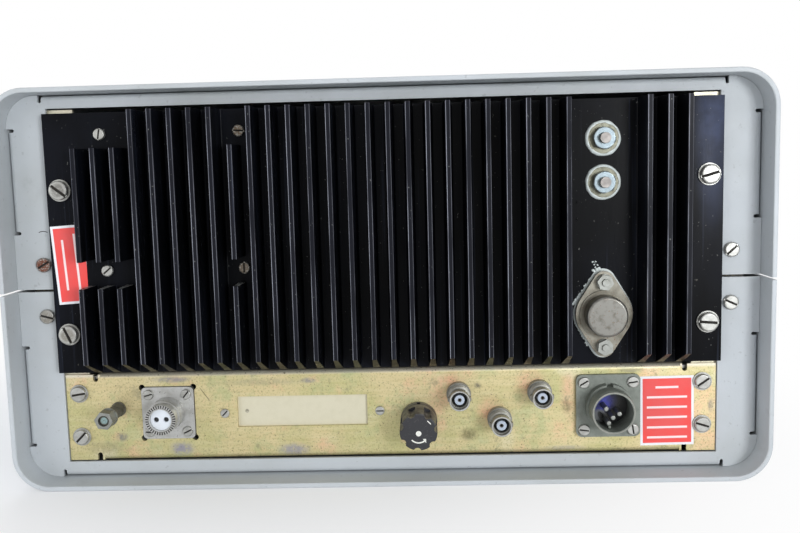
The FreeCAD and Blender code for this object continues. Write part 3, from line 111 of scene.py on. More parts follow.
# Slots of the screws: x, z, top of the head, radius of the head, height of the head, turn of the slot
SCREWS = (
    (149.5, 141.9, 159.6, 4.5, 2.4, -38), (149.5, 74.0, 159.6, 4.5, 2.4, -66),
    (-149.5, 141.9, 159.6, 4.5, 2.4, 16), (-149.5, 74.0, 159.6, 4.5, 2.4, -5),
    (161.8, 106.7, 152.9, 3.5, 1.9, 30), (161.8, 81.9, 152.9, 3.5, 1.9, -15),
    (-161.8, 106.7, 152.9, 3.5, 1.9, 42), (-161.8, 81.9, 152.9, 3.5, 1.9, -25),
    (129.4, 167.2, 157.9, 2.7, 1.6, 80), (129.4, 103.9, 157.9, 2.7, 1.6, 40),
    (64.8, 167.2, 157.9, 2.7, 1.6, -5), (64.8, 103.9, 157.9, 2.7, 1.6, 90),
    (149.4, 43.6, 152.7, 3.7, 1.8, 8), (149.4, 22.2, 152.7, 3.7, 1.8, 45),
    (-149.4, 44.2, 152.7, 3.7, 1.8, 35), (-149.4, 23.4, 152.7, 3.7, 1.8, -18),
)
SLOT_SHARE = 0.29

# The four screws of each flanged connector: centre, spacing, top, radius, height, turns of the slots
CORNER_SCREWS = ((SOCKET, 18.26, 152.2, 2.45, 1.3, (15, -5, 50, 25)),
                 (INLET, 23.0, 153.6, 2.7, 1.3, (30, -8, 8, -80)))
PLATE_SCREWS = ((78.9, 32.6, 151.2, 2.2, 1.1, 45), (3.9, 32.6, 151.2, 2.2, 1.1, 0))


def linear(color):
    """A colour written as 0 to 255 screen values, as the shader's own linear values."""
    out = []
    for value in color:
        value = value / 255
        out.append(value / 12.92 if value <= 0.04045 else ((value + 0.055) / 1.055) ** 2.4)
    return (*out, 1.0)


class Surface:
    """One procedural material: a shader, and the textures that feed it."""

    def __init__(self, name, color, roughness=0.5, metallic=0.0, **sockets):
        self.material = bpy.data.materials.new(name)
        self.material.use_nodes = True
        self.tree = self.material.node_tree
        self.shader = self.tree.nodes["Principled BSDF"]
        self.shader.inputs["Base Color"].default_value = linear(color)
        self.shader.inputs["Roughness"].default_value = roughness
        self.shader.inputs["Metallic"].default_value = metallic
        for key, value in sockets.items():
            self.shader.inputs[key.replace("_", " ")].default_value = value
        self.place = self.node("ShaderNodeTexCoord").outputs["Object"]
        self.height = None

    def node(self, kind, inputs=(), **settings):
        made = self.tree.nodes.new(kind)
        for key, value in settings.items():
            setattr(made, key, value)
        for key, value in dict(inputs).items():
            self.feed(made.inputs[key], value)
        return made

    def feed(self, socket, value):
        """Links a socket to another, or sets its own value."""
        if isinstance(value, bpy.types.NodeSocket):
            self.tree.links.new(value, socket)
        elif value is not None:
            socket.default_value = value

    def stretched(self, scale):
        """The object's own coordinates, scaled along each axis."""
        return self.node("ShaderNodeMapping", {"Vector": self.place, "Scale": scale}).outputs["Vector"]

    def noise(self, scale, detail=3, rough=0.55, stretch=None, shift=0.0):
        """Cloudy noise, 0 to 1; scale is in features per metre."""
        place = self.stretched(stretch) if stretch else self.place
        if shift:
            place = self.node("ShaderNodeVectorMath", {0: place, 1: (shift, shift, shift)},
                              operation="ADD").outputs[0]
        made = self.node("ShaderNodeTexNoise", {"Vector": place, "Scale": scale, "Detail": detail,
                                                "Roughness": rough})
        return made.outputs["Fac"]

    def span(self, value, low, high, out_low=0.0, out_high=1.0, smooth=False):
        """A value between two limits, stretched to new ones and clamped."""
        made = self.node("ShaderNodeMapRange", {"Value": value, "From Min": low, "From Max": high,
                                                "To Min": out_low, "To Max": out_high},
                         interpolation_type="SMOOTHSTEP" if smooth else "LINEAR")
        return made.outputs["Result"]

    def math(self, kind, first, second=0.0):
        return self.node("ShaderNodeMath", {0: first, 1: second}, operation=kind).outputs[0]

    def times(self, *values):
        total = values[0]
        for value in values[1:]:
            total = self.math("MULTIPLY", total, value)
        return total

    def blend(self, factor, first, second):
        """Two colours mixed; a colour may be screen values or a socket."""
        def tint(value):
            return value if isinstance(value, bpy.types.NodeSocket) else linear(value)
        made = self.node("ShaderNodeMix", data_type="RGBA")
        self.feed(made.inputs["Factor"], factor)
        self.feed(made.inputs[6], tint(first))
        self.feed(made.inputs[7], tint(second))
        return made.outputs[2]

    def axis(self, letter, place=None):
        """One of the object's coordinates, in metres."""
        return self.node("ShaderNodeSeparateXYZ", {0: place or self.place}).outputs[letter]

    def facing(self, letter):
        """How far the face's own direction points along an axis, from -1 to 1."""
        normal = self.node("ShaderNodeTexCoord").outputs["Normal"]
        return self.axis(letter, normal)

    def about(self, x, z, turn=0.0):
        """Coordinates about a point of the rear, in metres, turned in its plane."""
        offset = self.node("ShaderNodeVectorMath", {0: self.place, 1: (x * MM, 0, z * MM)},
                           operation="SUBTRACT").outputs[0]
        turned = self.node("ShaderNodeMapping", {"Vector": offset, "Rotation": (0, math.radians(turn), 0)})
        return turned.outputs["Vector"]

    def patch(self, x, z, half_x, half_z, turn=0.0, soft=0.4):
        """1 inside an ellipse on the rear, falling to 0 at its edge; sizes in millimetres."""
        scaled = self.node("ShaderNodeVectorMath", {0: self.about(x, z, turn),
                                                    1: (1 / (half_x * MM), 0, 1 / (half_z * MM))},
                           operation="MULTIPLY").outputs[0]
        reach = self.node("ShaderNodeVectorMath", {0: scaled}, operation="LENGTH").outputs["Value"]
        return self.span(reach, 1.0, 1.0 - soft, smooth=True)

    def color(self, socket):
        self.feed(self.shader.inputs["Base Color"], socket)

    def roughness(self, socket):
        self.feed(self.shader.inputs["Roughness"], socket)

    def bump(self, height, strength=0.3, distance=0.0002):
        """Adds one more layer of relief under what is there."""
        inputs = {"Height": height, "Strength": strength, "Distance": distance}
        if self.height is not None:
            inputs["Normal"] = self.height
        self.height = self.node("ShaderNodeBump", inputs).outputs["Normal"]
        self.feed(self.shader.inputs["Normal"], self.height)


# Materials

def enamel(name, base, shade, grain=950, relief=0.3):
    """Fine textured enamel with faint dirt clouds."""
    paint = Surface(name, base, roughness=0.5, Specular_IOR_Level=0.4)
    dirt = paint.span(paint.noise(14, detail=5), 0.45, 0.75)
    specks = paint.span(paint.noise(420, detail=2), 0.68, 0.74)
    tone = paint.blend(dirt, base, shade)
    tone = paint.blend(paint.times(specks, 0.3), tone, [value * 0.75 for value in shade])
    smudge = paint.span(paint.noise(45, detail=6, rough=0.7, shift=2.2), 0.62, 0.72)
    paint.color(paint.blend(paint.times(smudge, 0.22), tone, [value * 0.8 for value in shade]))
    paint.roughness(paint.span(paint.noise(60), 0.3, 0.7, 0.42, 0.6))
    paint.bump(paint.noise(grain, detail=2), relief, 0.00012)
    paint.bump(paint.noise(90, detail=2), 0.08, 0.0004)
    return paint.material


def anodised():
    """Black anodised aluminium: bright lines along the fin tips, worn edges with a painted highlight, a
    painted bluish reflection on one strip, bare scratched saw cuts.
    """
    black = Surface("black_anodised", (11, 11, 14), roughness=0.34, Specular_IOR_Level=0.06)
    clouds = black.span(black.noise(30, detail=5, stretch=(1, 1, 0.5)), 0.4, 0.7)
    tone = black.blend(clouds, (8, 9, 12), (18, 20, 27))
    across = black.math("DIVIDE", black.math("SUBTRACT", FIRST_FIN * MM, black.axis("X")), FIN_PITCH * MM)
    side = black.math("SUBTRACT", black.math("FRACT", black.math("ADD", across, 0.5)), 0.5)
    off = black.math("ABSOLUTE", side)
    # Bright lines at both edges of each fin tip: wear together with a painted highlight of the rounded
    # edges
    left = black.span(black.math("ABSOLUTE", black.math("ADD", side, FIN_EDGE)), 0.026, 0.01)
    right = black.span(black.math("ABSOLUTE", black.math("SUBTRACT", side, FIN_EDGE)), 0.02, 0.01, 0, 0.45)
    edge = black.math("MAXIMUM", left, right)
    tip = black.span(black.axis("Y"), (FIN_TIP - 1.0) * MM, (FIN_TIP - 0.2) * MM)
    tone = black.blend(black.times(tip, black.span(off, 0.125, 0.1)), tone, (26, 27, 33))
    patchy = black.span(black.noise(95, detail=4, stretch=(1, 1, 0.3)), 0.36, 0.62, 0.2, 1.0)
    tone = black.blend(black.times(edge, tip, patchy), tone, (150, 152, 162))
    streaks = black.span(black.noise(420, detail=3, stretch=(1, 1, 0.02)), 0.62, 0.72)
    tone = black.blend(black.times(streaks, 0.22), tone, (74, 80, 98))
    # Painted reflection: a bluish sheen of the lamp on the right strip of the plate
    painted_reflection = black.patch(-151, 168, 11, 62, soft=0.9)
    cloudy = black.span(black.noise(60, detail=4), 0.35, 0.6, 0.35, 0.95)
    tone = black.blend(black.times(painted_reflection, cloudy), tone, (62, 71, 98))
    cut = black.span(black.facing("Z"), 0.9, 0.95)
    above = black.span(black.axis("Y"), 157.3 * MM, 158.0 * MM)
    saw = black.span(black.noise(900, detail=2, stretch=(0.3, 1, 1), shift=1.3), 0.4, 0.62)
    tone = black.blend(black.times(cut, above, saw), tone, (150, 152, 150))
    dust = black.span(black.noise(900, detail=1), 0.75, 0.78)
    tone = black.blend(black.times(dust, 0.4), tone, (150, 150, 146))
    chips = black.span(black.noise(240, detail=3, shift=5.1), 0.74, 0.78)
    tone = black.blend(black.times(chips, 0.5), tone, (110, 108, 102))
    black.color(tone)
    black.roughness(black.span(black.noise(70, detail=4, stretch=(1, 1, 0.2)), 0.3, 0.7, 0.24, 0.42))
    black.bump(black.noise(600, detail=3, stretch=(1, 1, 0.08)), 0.1, 0.00012)
    return black.material


def chromate():
    """Yellow chromate plating: pale gold with pink and green clouds, fine brushing, stains and pits; a worn
    band with a painted highlight along the top bend, and painted shade at the seam.
    """
    gold = Surface("yellow_chromate", (200, 192, 146), roughness=0.42, metallic=0.55)
    wide = gold.span(gold.noise(24, detail=5, rough=0.65), 0.38, 0.62, smooth=True)
    tone = gold.blend(wide, (186, 182, 127), (208, 192, 146))
    pink = gold.span(gold.noise(46, detail=6, rough=0.65, shift=3.1), 0.53, 0.66, smooth=True)
    tone = gold.blend(gold.times(pink, 0.55), tone, (224, 178, 146))
    green = gold.span(gold.noise(58, detail=6, rough=0.7, shift=7.7), 0.5, 0.66, smooth=True)
    tone = gold.blend(gold.times(green, 0.75), tone, (172, 178, 128))
    pale = gold.span(gold.noise(34, detail=5, shift=9.2), 0.55, 0.7, smooth=True)
    tone = gold.blend(gold.times(pale, 0.5), tone, (222, 216, 190))
    halo_noise = gold.span(gold.noise(120, detail=4, shift=0.7), 0.3, 0.6)
    for x, z in COAX:
        halo = gold.times(gold.patch(x + 4.5, z + 3.0, 8.5, 10.0, soft=0.7), halo_noise, 0.8)
        tone = gold.blend(halo, tone, (224, 166, 138))
    flush = gold.times(gold.patch(-86.5, 38, 6, 17, soft=0.8), halo_noise, 0.7)
    tone = gold.blend(flush, tone, (222, 172, 146))
    brushed = gold.noise(640, detail=4, stretch=(0.06, 1, 1))
    tone = gold.blend(gold.span(brushed, 0.35, 0.75, 0.0, 0.28), tone, (232, 224, 186))
    grain = gold.span(gold.noise(1100, detail=3, shift=2.6), 0.52, 0.72)
    tone = gold.blend(gold.times(grain, 0.75), tone, (150, 142, 96))
    stain = gold.span(gold.noise(120, detail=7, rough=0.75, shift=1.7), 0.57, 0.66)
    tone = gold.blend(gold.times(stain, 0.55), tone, (128, 124, 100))
    ragged = gold.span(gold.noise(420, detail=5, rough=0.7, shift=6.3), 0.3, 0.52)
    for x, z, wide_x, wide_z, color, share in (
            (100.7, 15.3, 8, 4.6, (150, 147, 158), 0.95), (46.0, 13.9, 10, 4.4, (154, 151, 156), 0.9),
            (129.9, 21.6, 4, 3.0, (122, 118, 118), 0.8), (-38.6, 20.1, 6, 4.4, (104, 98, 66), 0.75),
            (-43.2, 44.0, 2.4, 2.0, (112, 108, 92), 0.9), (-85.4, 32.9, 3, 4.5, (122, 116, 84), 0.8),
            (38.0, 48.0, 5, 1.8, (146, 142, 140), 0.9), (-153.6, 32.3, 1.8, 4.6, (126, 120, 116), 0.8),
            (104, 49.6, 13, 2.2, (138, 136, 142), 0.8), (-84.5, 12.7, 14, 1.6, (176, 170, 152), 0.7),
            (60, 47.6, 30, 2.4, (150, 146, 120), 0.45), (138, 16, 14, 5, (150, 140, 108), 0.5),
            (-116, 50.2, 9, 2.0, (140, 134, 116), 0.7), (120, 43, 6, 5, (130, 126, 104), 0.55)):
        spot = gold.times(gold.patch(x, z, wide_x, wide_z, soft=0.8), ragged, share)
        tone = gold.blend(spot, tone, color)
    scratch = gold.patch(88.35, 42.0, 4.9, 0.28, turn=55.0, soft=0.3)
    tone = gold.blend(gold.times(scratch, 0.8), tone, (112, 104, 76))
    # The top bend: a lighter band that is wear together with a painted highlight of the bend
    worn = gold.span(gold.axis("Z"), 50.6 * MM, 52.2 * MM, smooth=True)
    tone = gold.blend(gold.times(worn, 0.65), tone, (226, 222, 210))
    # Painted shade: the side rails darkened along the seam between the shells
    for x in (-164, 164):
        tone = gold.blend(gold.patch(x, SEAM, 16, 2.6), tone, (30, 28, 22))
    pits = gold.span(gold.noise(900, detail=2, shift=4.4), 0.65, 0.71)
    tone = gold.blend(gold.times(pits, 0.8), tone, (88, 78, 52))
    gold.color(tone)
    gold.roughness(gold.span(gold.noise(80, detail=4), 0.3, 0.7, 0.36, 0.54))
    gold.bump(brushed, 0.1, 0.00008)
    gold.bump(gold.noise(70, detail=3), 0.08, 0.0005)
    return gold.material


def metal(name, color, dark, roughness=0.32, tarnish=0.4, metallic=0.85, rust=()):
    """Plated or bare metal with small marks and tarnish; rust is given as patches on the rear."""
    plated = Surface(name, color, roughness=roughness, metallic=metallic)
    cloud = plated.span(plated.noise(230, detail=5, rough=0.65), 0.45, 0.7)
    tone = plated.blend(plated.times(cloud, tarnish), color, dark)
    spots = plated.span(plated.noise(2200, detail=2), 0.62, 0.72)
    tone = plated.blend(plated.times(spots, tarnish), tone, dark)
    ragged = plated.span(plated.noise(1300, detail=4, shift=2.9), 0.3, 0.5)
    for x, z, radius, shade, share in rust:
        tone = plated.blend(plated.times(plated.patch(x, z, radius, radius), ragged, share), tone, shade)
    plated.color(tone)
    plated.roughness(plated.span(plated.noise(700), 0.3, 0.7, roughness - 0.08, roughness + 0.12))
    plated.bump(plated.noise(2600, detail=3), 0.12, 0.00003)
    return plated.material


def case_and_flange():
    """Dull nickel of the power transistor: darker flange, paler can top, a shadowed ring between."""
    case = Surface("transistor_nickel", (150, 144, 126), roughness=0.36, metallic=0.75)
    cloud = case.span(case.noise(160, detail=5), 0.4, 0.7)
    flange = case.blend(cloud, (132, 129, 119), (94, 91, 81))
    top = case.span(case.axis("Y"), 165.6 * MM, 166.9 * MM)
    crown = case.blend(case.span(case.noise(340, detail=4), 0.5, 0.75), (122, 121, 116), (92, 89, 82))
    tone = case.blend(top, flange, crown)
    specks = case.span(case.noise(1500, detail=2, shift=3.3), 0.63, 0.69)
    tone = case.blend(case.times(specks, 0.8), tone, (110, 84, 66))
    step = case.times(case.patch(FLAT_X, TRANSISTOR_Z, 11.6, 11.6, soft=0.12),
                      case.span(case.axis("Y"), 162.4 * MM, 161.4 * MM))
    case.color(case.blend(case.times(step, 0.35), tone, (70, 66, 56)))
    case.roughness(case.span(case.noise(500), 0.3, 0.7, 0.3, 0.46))
    case.bump(case.noise(1800, detail=3), 0.1, 0.00004)
    return case.material


def stud_washer():
    """The diodes' nuts and washers: olive washer, bluish bright nut face."""
    nut = Surface("diode_nut_plate", (200, 208, 212), roughness=0.3, metallic=0.8)
    cloud = nut.span(nut.noise(420, detail=4), 0.45, 0.7)
    under = nut.blend(cloud, (104, 104, 92), (72, 71, 60))
    face = nut.blend(nut.times(cloud, 0.5), (122, 134, 140), (92, 100, 104))
    nut.color(nut.blend(nut.span(nut.axis("Y"), 157.6 * MM, 159.6 * MM), under, face))
    nut.roughness(nut.span(nut.noise(900), 0.3, 0.7, 0.26, 0.42))
    nut.bump(nut.noise(2400, detail=3), 0.1, 0.00003)
    return nut.material


def plastic(name, color, light, roughness=0.4, grain=1400, dust=0.5):
    """Moulded plastic with a faint grain and dust."""
    moulded = Surface(name, color, roughness=roughness)
    haze = moulded.span(moulded.noise(160, detail=5), 0.5, 0.75)
    tone = moulded.blend(moulded.times(haze, dust), color, light)
    motes = moulded.span(moulded.noise(1700, detail=2, shift=4.2), 0.68, 0.72)
    moulded.color(moulded.blend(moulded.times(motes, dust), tone, light))
    moulded.roughness(moulded.span(moulded.noise(300), 0.3, 0.7, roughness - 0.06, roughness + 0.14))
    moulded.bump(moulded.noise(grain, detail=2), 0.1, 0.0001)
    return moulded.material


def dusty_cap():
    """The fuse cap and its holder: black moulding, grey with dust on the sides above."""
    cap = Surface("dusty_moulding", (34, 34, 39), roughness=0.45)
    cloud = cap.span(cap.noise(260, detail=5), 0.35, 0.65)
    side = cap.span(cap.facing("Z"), 0.1, 0.9)
    tone = cap.blend(cap.times(cloud, side, 0.8), (34, 34, 39), (120, 118, 114))
    motes = cap.span(cap.noise(1500, detail=3, shift=1.1), 0.6, 0.7)
    cap.color(cap.blend(cap.times(motes, 0.4), tone, (96, 94, 92)))
    cap.roughness(cap.span(cap.noise(400), 0.3, 0.7, 0.38, 0.58))
    cap.bump(cap.noise(1200, detail=3), 0.15, 0.00008)
    return cap.material


def foil(name, place, lines=(), upright=False):
    """Red foil label with a white border and plain ruled lines; lines are (offset, half length)."""
    label = Surface(name, (240, 74, 70), roughness=0.42)
    turned = label.about(place["x"], place["z"], -place["tilt"])
    across = label.math("ABSOLUTE", label.axis("X", turned))
    up = label.math("ABSOLUTE", label.axis("Z", turned))
    cloud = label.span(label.noise(90, detail=4), 0.4, 0.7)
    tone = label.blend(cloud, (241, 72, 68), (233, 84, 82))
    along, aside = ("Z", "X") if upright else ("X", "Z")
    reach = label.math("ABSOLUTE", label.axis(along, turned))
    offset = label.axis(aside, turned)
    for at, half in lines:
        away = label.math("ABSOLUTE", label.math("SUBTRACT", offset, at * MM))
        rule = label.times(label.span(away, 0.62 * MM, 0.42 * MM),
                           label.span(reach, half * MM, (half - 0.2) * MM))
        tone = label.blend(label.times(rule, 0.92), tone, (250, 236, 236))
    edge = label.math("MAXIMUM", label.math("SUBTRACT", across, (place["width"] / 2 - 1.15) * MM),
                      label.math("SUBTRACT", up, (place["height"] / 2 - 1.15) * MM))
    tone = label.blend(label.span(edge, -0.0001, 0.0001), tone, (238, 238, 242))
    marks = label.span(label.noise(700, detail=3, shift=8.0), 0.7, 0.76)
    label.color(label.blend(label.times(marks, 0.4), tone, (190, 120, 116)))
    label.roughness(label.span(label.noise(200), 0.3, 0.7, 0.36, 0.52))
    label.bump(label.noise(900, detail=2), 0.06, 0.00005)
    return label.material


def socket_floor():
    """The power inlet's dark insert: blue-violet film at the upper left, grey slotted face below."""
    floor = Surface("inlet_insert", (26, 26, 26), roughness=0.3)
    x, z = INLET
    cloud = floor.span(floor.noise(420, detail=5), 0.35, 0.62)
    tone = floor.blend(cloud, (10, 10, 13), (32, 32, 36))
    film = floor.times(floor.patch(x + 4.2, z + 3.0, 9.5, 8.0, soft=0.7), floor.span(cloud, 0, 1, 0.4))
    tone = floor.blend(film, tone, (56, 62, 176))
    lower = floor.patch(x + 4.2, z - 4.6, 4.0, 3.4, soft=0.3)
    tone = floor.blend(floor.times(lower, 0.8), tone, (104, 106, 108))
    slot = floor.patch(x + 3.4, z - 5.0, 1.4, 2.8, turn=-28, soft=0.2)
    floor.color(floor.blend(slot, tone, (10, 11, 11)))
    floor.roughness(floor.span(floor.noise(300), 0.3, 0.7, 0.2, 0.4))
    floor.bump(floor.noise(500, detail=3), 0.15, 0.0001)
    return floor.material


def clear(name, tint):
    """Clear acrylic or glass."""
    pane = Surface(name, tint, roughness=0.06, IOR=1.49, Alpha=0.07)
    pane.roughness(pane.span(pane.noise(120, detail=3), 0.4, 0.8, 0.04, 0.14))
    return pane.material


# Finishes of the CAD nodes

paint = enamel("cabinet_enamel", (191, 196, 200), (176, 180, 180))
front_paint = enamel("front_enamel", (88, 94, 98), (78, 82, 86), grain=1200, relief=0.2)
black = anodised()
gold = chromate()
RUST, BROWN = (104, 62, 46), (96, 80, 62)
steel = metal("plain_steel", (176, 176, 172), (100, 97, 88), roughness=0.4, metallic=0.7, rust=(
    (161.8, 106.7, 4.2, RUST, 1.0), (161.8, 81.9, 4.0, (120, 114, 104), 0.7),
    (64.8, 167.2, 3.2, BROWN, 0.95), (64.8, 103.9, 3.2, BROWN, 0.85),
    (149.5, 141.9, 3.9, (112, 110, 106), 0.8), (149.5, 74.0, 3.9, (120, 116, 106), 0.7)))
nickel = metal("dull_nickel", (146, 148, 144), (92, 90, 80), roughness=0.4)
# The ground stud: dirty, tarnished steel, made darker still as painted shade of its shaft
stud = metal("dirty_and_shaded_stud", (112, 110, 100), (58, 54, 46), roughness=0.5, metallic=0.5, tarnish=0.8,
             rust=((*GROUND, 2.0, (140, 168, 168), 0.9),))
coax_grey = metal("coax_grey", (146, 145, 138), (104, 102, 94), roughness=0.42, metallic=0.45, tarnish=0.5)
contact = metal("dark_contact", (104, 100, 92), (60, 56, 48))
connector_nickel = metal("connector_nickel", (188, 188, 186), (134, 132, 122), roughness=0.34,
                         metallic=0.6, tarnish=0.5)
grey_plate = metal("olive_grey_plating", (126, 131, 124), (92, 97, 90), roughness=0.46, metallic=0.4,
                   tarnish=0.6)
sheet_metal = metal("plain_sheet", (188, 190, 192), (150, 152, 152), roughness=0.4)
spun = metal("spun_aluminium", (172, 174, 177), (150, 152, 155), roughness=0.26, tarnish=0.2)
brass = metal("brass", (196, 172, 100), (130, 108, 60))
case = case_and_flange()
washers = stud_washer()
stud_steel = metal("stud_steel", (132, 128, 125), (94, 88, 84), roughness=0.42)
white = plastic("white_moulding", (222, 227, 234), (196, 198, 196), dust=0.3)
bluish = plastic("bluish_insulator", (182, 192, 206), (150, 156, 160), roughness=0.3, dust=0.3)
moulding = plastic("black_moulding", (26, 26, 30), (64, 62, 60))
cap = dusty_cap()
insert = socket_floor()
cream = metal("cream_plate", (214, 208, 184), (196, 190, 162), roughness=0.5, metallic=0.15, tarnish=0.25,
              rust=((68.5, 33.1, 1.1, (130, 124, 108), 0.9),))
grease = plastic("white_grease", (214, 222, 220), (170, 176, 168), roughness=0.45, grain=700)
glass = clear("clear_pane", (235, 242, 244))
scale_ink = plastic("scale_cream", (232, 226, 204), (222, 214, 190), roughness=0.55, dust=0.2)
laminate = plastic("laminate", (150, 116, 60), (120, 92, 48), roughness=0.5)
iron = metal("varnished_iron", (70, 70, 74), (48, 46, 46), roughness=0.5, metallic=0.6)
wrap = plastic("amber_wrap", (170, 110, 50), (140, 88, 40), roughness=0.35)
cone = plastic("paper_cone", (48, 46, 44), (60, 56, 52), roughness=0.85, grain=700)
jewel = plastic("red_jewel", (180, 24, 20), (150, 18, 16), roughness=0.12, dust=0.1)
ink = plastic("dark_ink", (24, 24, 26), (40, 40, 40), roughness=0.6, dust=0.2)
white_ink = plastic("white_ink", (228, 228, 220), (200, 200, 192), roughness=0.55, dust=0.3)
red_ink = plastic("red_ink", (196, 44, 36), (170, 36, 30), roughness=0.5, dust=0.2)
# Dark grime; in the screw slots and under the socket's teeth it is also painted shade
grime_and_shade = plastic("slot_grime_and_shade", (30, 27, 23), (62, 54, 42), roughness=0.8, dust=0.5)
right_foil = foil("right_red_foil", RIGHT_LABEL, lines=[(11.4, 5.5)] + [
    (6.6 - 4.9 * row, 9.6) for row in range(5)])
left_foil = foil("left_red_foil", LEFT_LABEL, lines=[(3.2, 12.0), (-2.6, 14.5)], upright=True)

finishes = {
    paint: ("upper_shell", "lower_shell", "upper_rear_frame", "lower_rear_frame"),
    front_paint: ("front_panel",),
    black: ("heat_sink",),
    gold: ("rear_panel", "left_side_rail", "right_side_rail"),
    steel: ("case_screws", "heat_sink_screws", "rear_panel_screws", "small_screws", "tuning_shaft",
            "control_bodies"),
    nickel: ("transistor_screws", "rear_nuts", "power_inlet_pins", "power_toggle",
             "phones_jack"),
    connector_nickel: ("two_pin_shell",),
    stud_steel: ("stud_diodes",),
    washers: ("diode_nuts",),
    case: ("power_transistor",),
    stud: ("ground_stud",),
    grey_plate: ("power_inlet_shell",),
    coax_grey: ("coax_jack_bodies",),
    contact: ("coax_jack_contacts",),
    bluish: ("coax_jack_insulators",),
    sheet_metal: ("chassis_deck", "socket_backing_plate", "capacitors"),
    ink: ("meter_needle",),
    spun: ("tuning_knob",),
    brass: ("board_spacers", "dial_spindle"),
    white: ("two_pin_insert",),
    moulding: ("band_knob", "mode_knob", "af_gain_knob", "rf_gain_knob", "meter_case",
               "speaker_grille"),
    insert: ("power_inlet_insert",),
    cap: ("fuse_holder", "fuse_cap"),
    cream: ("blank_plate",),
    right_foil: ("right_label",),
    left_foil: ("left_label",),
    grease: ("transistor_insulator",),
    glass: ("fuse_cartridge", "dial_window", "meter_glass"),
    scale_ink: ("dial_disc",),
    laminate: ("regulator_board", "circuit_board"),
    iron: ("transformer_core",),
    wrap: ("transformer_winding",),
    cone: ("speaker",),
    jewel: ("pilot_lamp",),
}
for finish, names in finishes.items():
    for name in names:
        mesh = nodes[name].data
        mesh.materials.clear()
        mesh.materials.append(finish)


# Mesh tools; everything is drawn in millimetres

def build(name, mesh, finish, body="cabinet", sharp=35):
    """Puts a bmesh into the scene as one piece of a body."""
    bmesh.ops.remove_doubles(mesh, verts=mesh.verts, dist=0.0005)
    bmesh.ops.recalc_face_normals(mesh, faces=mesh.faces)
    mesh.transform(Matrix.Scale(MM, 4))
    data = bpy.data.meshes.new(name)
    mesh.to_mesh(data)
    mesh.free()
    data.materials.append(finish)
    data.shade_smooth()
    data.set_sharp_from_angle(angle=math.radians(sharp))
    piece = bpy.data.objects.new(name, data)
    bpy.context.collection.objects.link(piece)
    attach(piece, body)
    return piece


def lathe(mesh, x, z, profile, turns=48):
    """A ring turned about a line along Y; profile(step) gives its (radius, y) points, in a loop."""
    rings = []
    for step in range(turns):
        angle = 2 * math.pi * step / turns
        rings.append([mesh.verts.new((x + radius * math.cos(angle), y, z + radius * math.sin(angle)))
                      for radius, y in profile(step)])
    for step in range(turns):
        first, second = rings[step], rings[(step + 1) % turns]
        for at in range(len(first)):
            after = (at + 1) % len(first)
            mesh.faces.new((first[at], first[after], second[after], second[at]))


def thread(mesh, x, z, core, crest, start, end, pitch):
    """Fine thread ridges round a barrel."""
    profile = [(core - 0.3, start)]
    count = int((end - start) / pitch)
    for turn in range(count):
        y = start + turn * pitch
        profile += [(core, y), (crest, y + 0.35 * pitch), (crest, y + 0.65 * pitch)]
    last = start + count * pitch
    profile += [(core, last), (core - 0.3, last)]
    lathe(mesh, x, z, lambda step: profile, turns=64)


def bar(mesh, x, z, low, high, length, width, turn=0.0, lean=0.0):
    """A straight bar flat on a face square to Y; a positive turn rises to the right from behind."""
    angle = math.radians(turn)
    along = Vector((math.cos(angle), 0, -math.sin(angle)))
    across = Vector((math.sin(angle), 0, math.cos(angle)))
    loops = []
    for y, trim in ((low, 0.0), (high, lean)):
        corners = []
        for side, up in ((-1, -1), (1, -1), (1, 1), (-1, 1)):
            point = (Vector((x, y, z)) + side * (length / 2 - trim) * along
                     + up * (width / 2 - trim) * across)
            corners.append(mesh.verts.new(point))
        loops.append(corners)
    mesh.faces.new(loops[0][::-1])
    mesh.faces.new(loops[1])
    for at in range(4):
        after = (at + 1) % 4
        mesh.faces.new((loops[0][at], loops[0][after], loops[1][after], loops[1][at]))


def ribbon(mesh, x, z, low, high, radius, width, start, end, steps=24):
    """A curved flat band round a point, between two angles in degrees."""
    rings = []
    for step in range(steps + 1):
        angle = math.radians(start + (end - start) * step / steps)
        rings.append([mesh.verts.new((x + r * math.cos(angle), y, z + r * math.sin(angle)))
                      for r, y in ((radius - width / 2, low), (radius + width / 2, low),
                                   (radius + width / 2, high), (radius - width / 2, high))])
    mesh.faces.new(rings[0])
    mesh.faces.new(rings[-1][::-1])
    for first, second in zip(rings, rings[1:]):
        for at in range(4):
            after = (at + 1) % 4
            mesh.faces.new((first[at], first[after], second[after], second[at]))


def digits(mesh, text, x, y, z, size, turn=0.0):
    """Plain numbers that face the front; a turn runs clockwise from the front."""
    curve = bpy.data.curves.new("digits", "FONT")
    curve.body = text
    curve.size = size
    curve.extrude = 0.04
    curve.align_x = "CENTER"
    curve.align_y = "CENTER"
    drawn = bpy.data.objects.new("digits", curve)
    bpy.context.collection.objects.link(drawn)
    bpy.context.view_layer.update()
    flat = bpy.data.meshes.new_from_object(drawn)
    flat.transform(Matrix.Translation((x, y, z)) @ Matrix.Rotation(math.radians(turn), 4, "Y")
                   @ Matrix.Rotation(math.radians(90), 4, "X"))
    mesh.from_mesh(flat)
    bpy.data.objects.remove(drawn)
    bpy.data.curves.remove(curve)
    bpy.data.meshes.remove(flat)


# Rear details

def screw_slots():
    """Dirt and painted shade at the bottom of every screw's slot."""
    mesh = bmesh.new()
    screws = list(SCREWS + PLATE_SCREWS)
    for (x, z), spacing, top, radius, height, turns in CORNER_SCREWS:
        corners = [(side, up) for side in (1, -1) for up in (1, -1)]
        for (side, up), turn in zip(corners, turns):
            screws.append((x + side * spacing / 2, z + up * spacing / 2, top, radius, height, turn))
    for x, z, top, radius, height, turn in screws:
        # A dark bar on the slot's floor: dirt and painted shade
        floor = top - 0.5 * height
        bar(mesh, x, z, floor - 0.05, floor + 0.22 * height, 2 * radius - 1.0,
            SLOT_SHARE * radius - 0.06, turn, lean=0.05)
    build("screw_slot_dirt_and_shade", mesh, grime_and_shade)


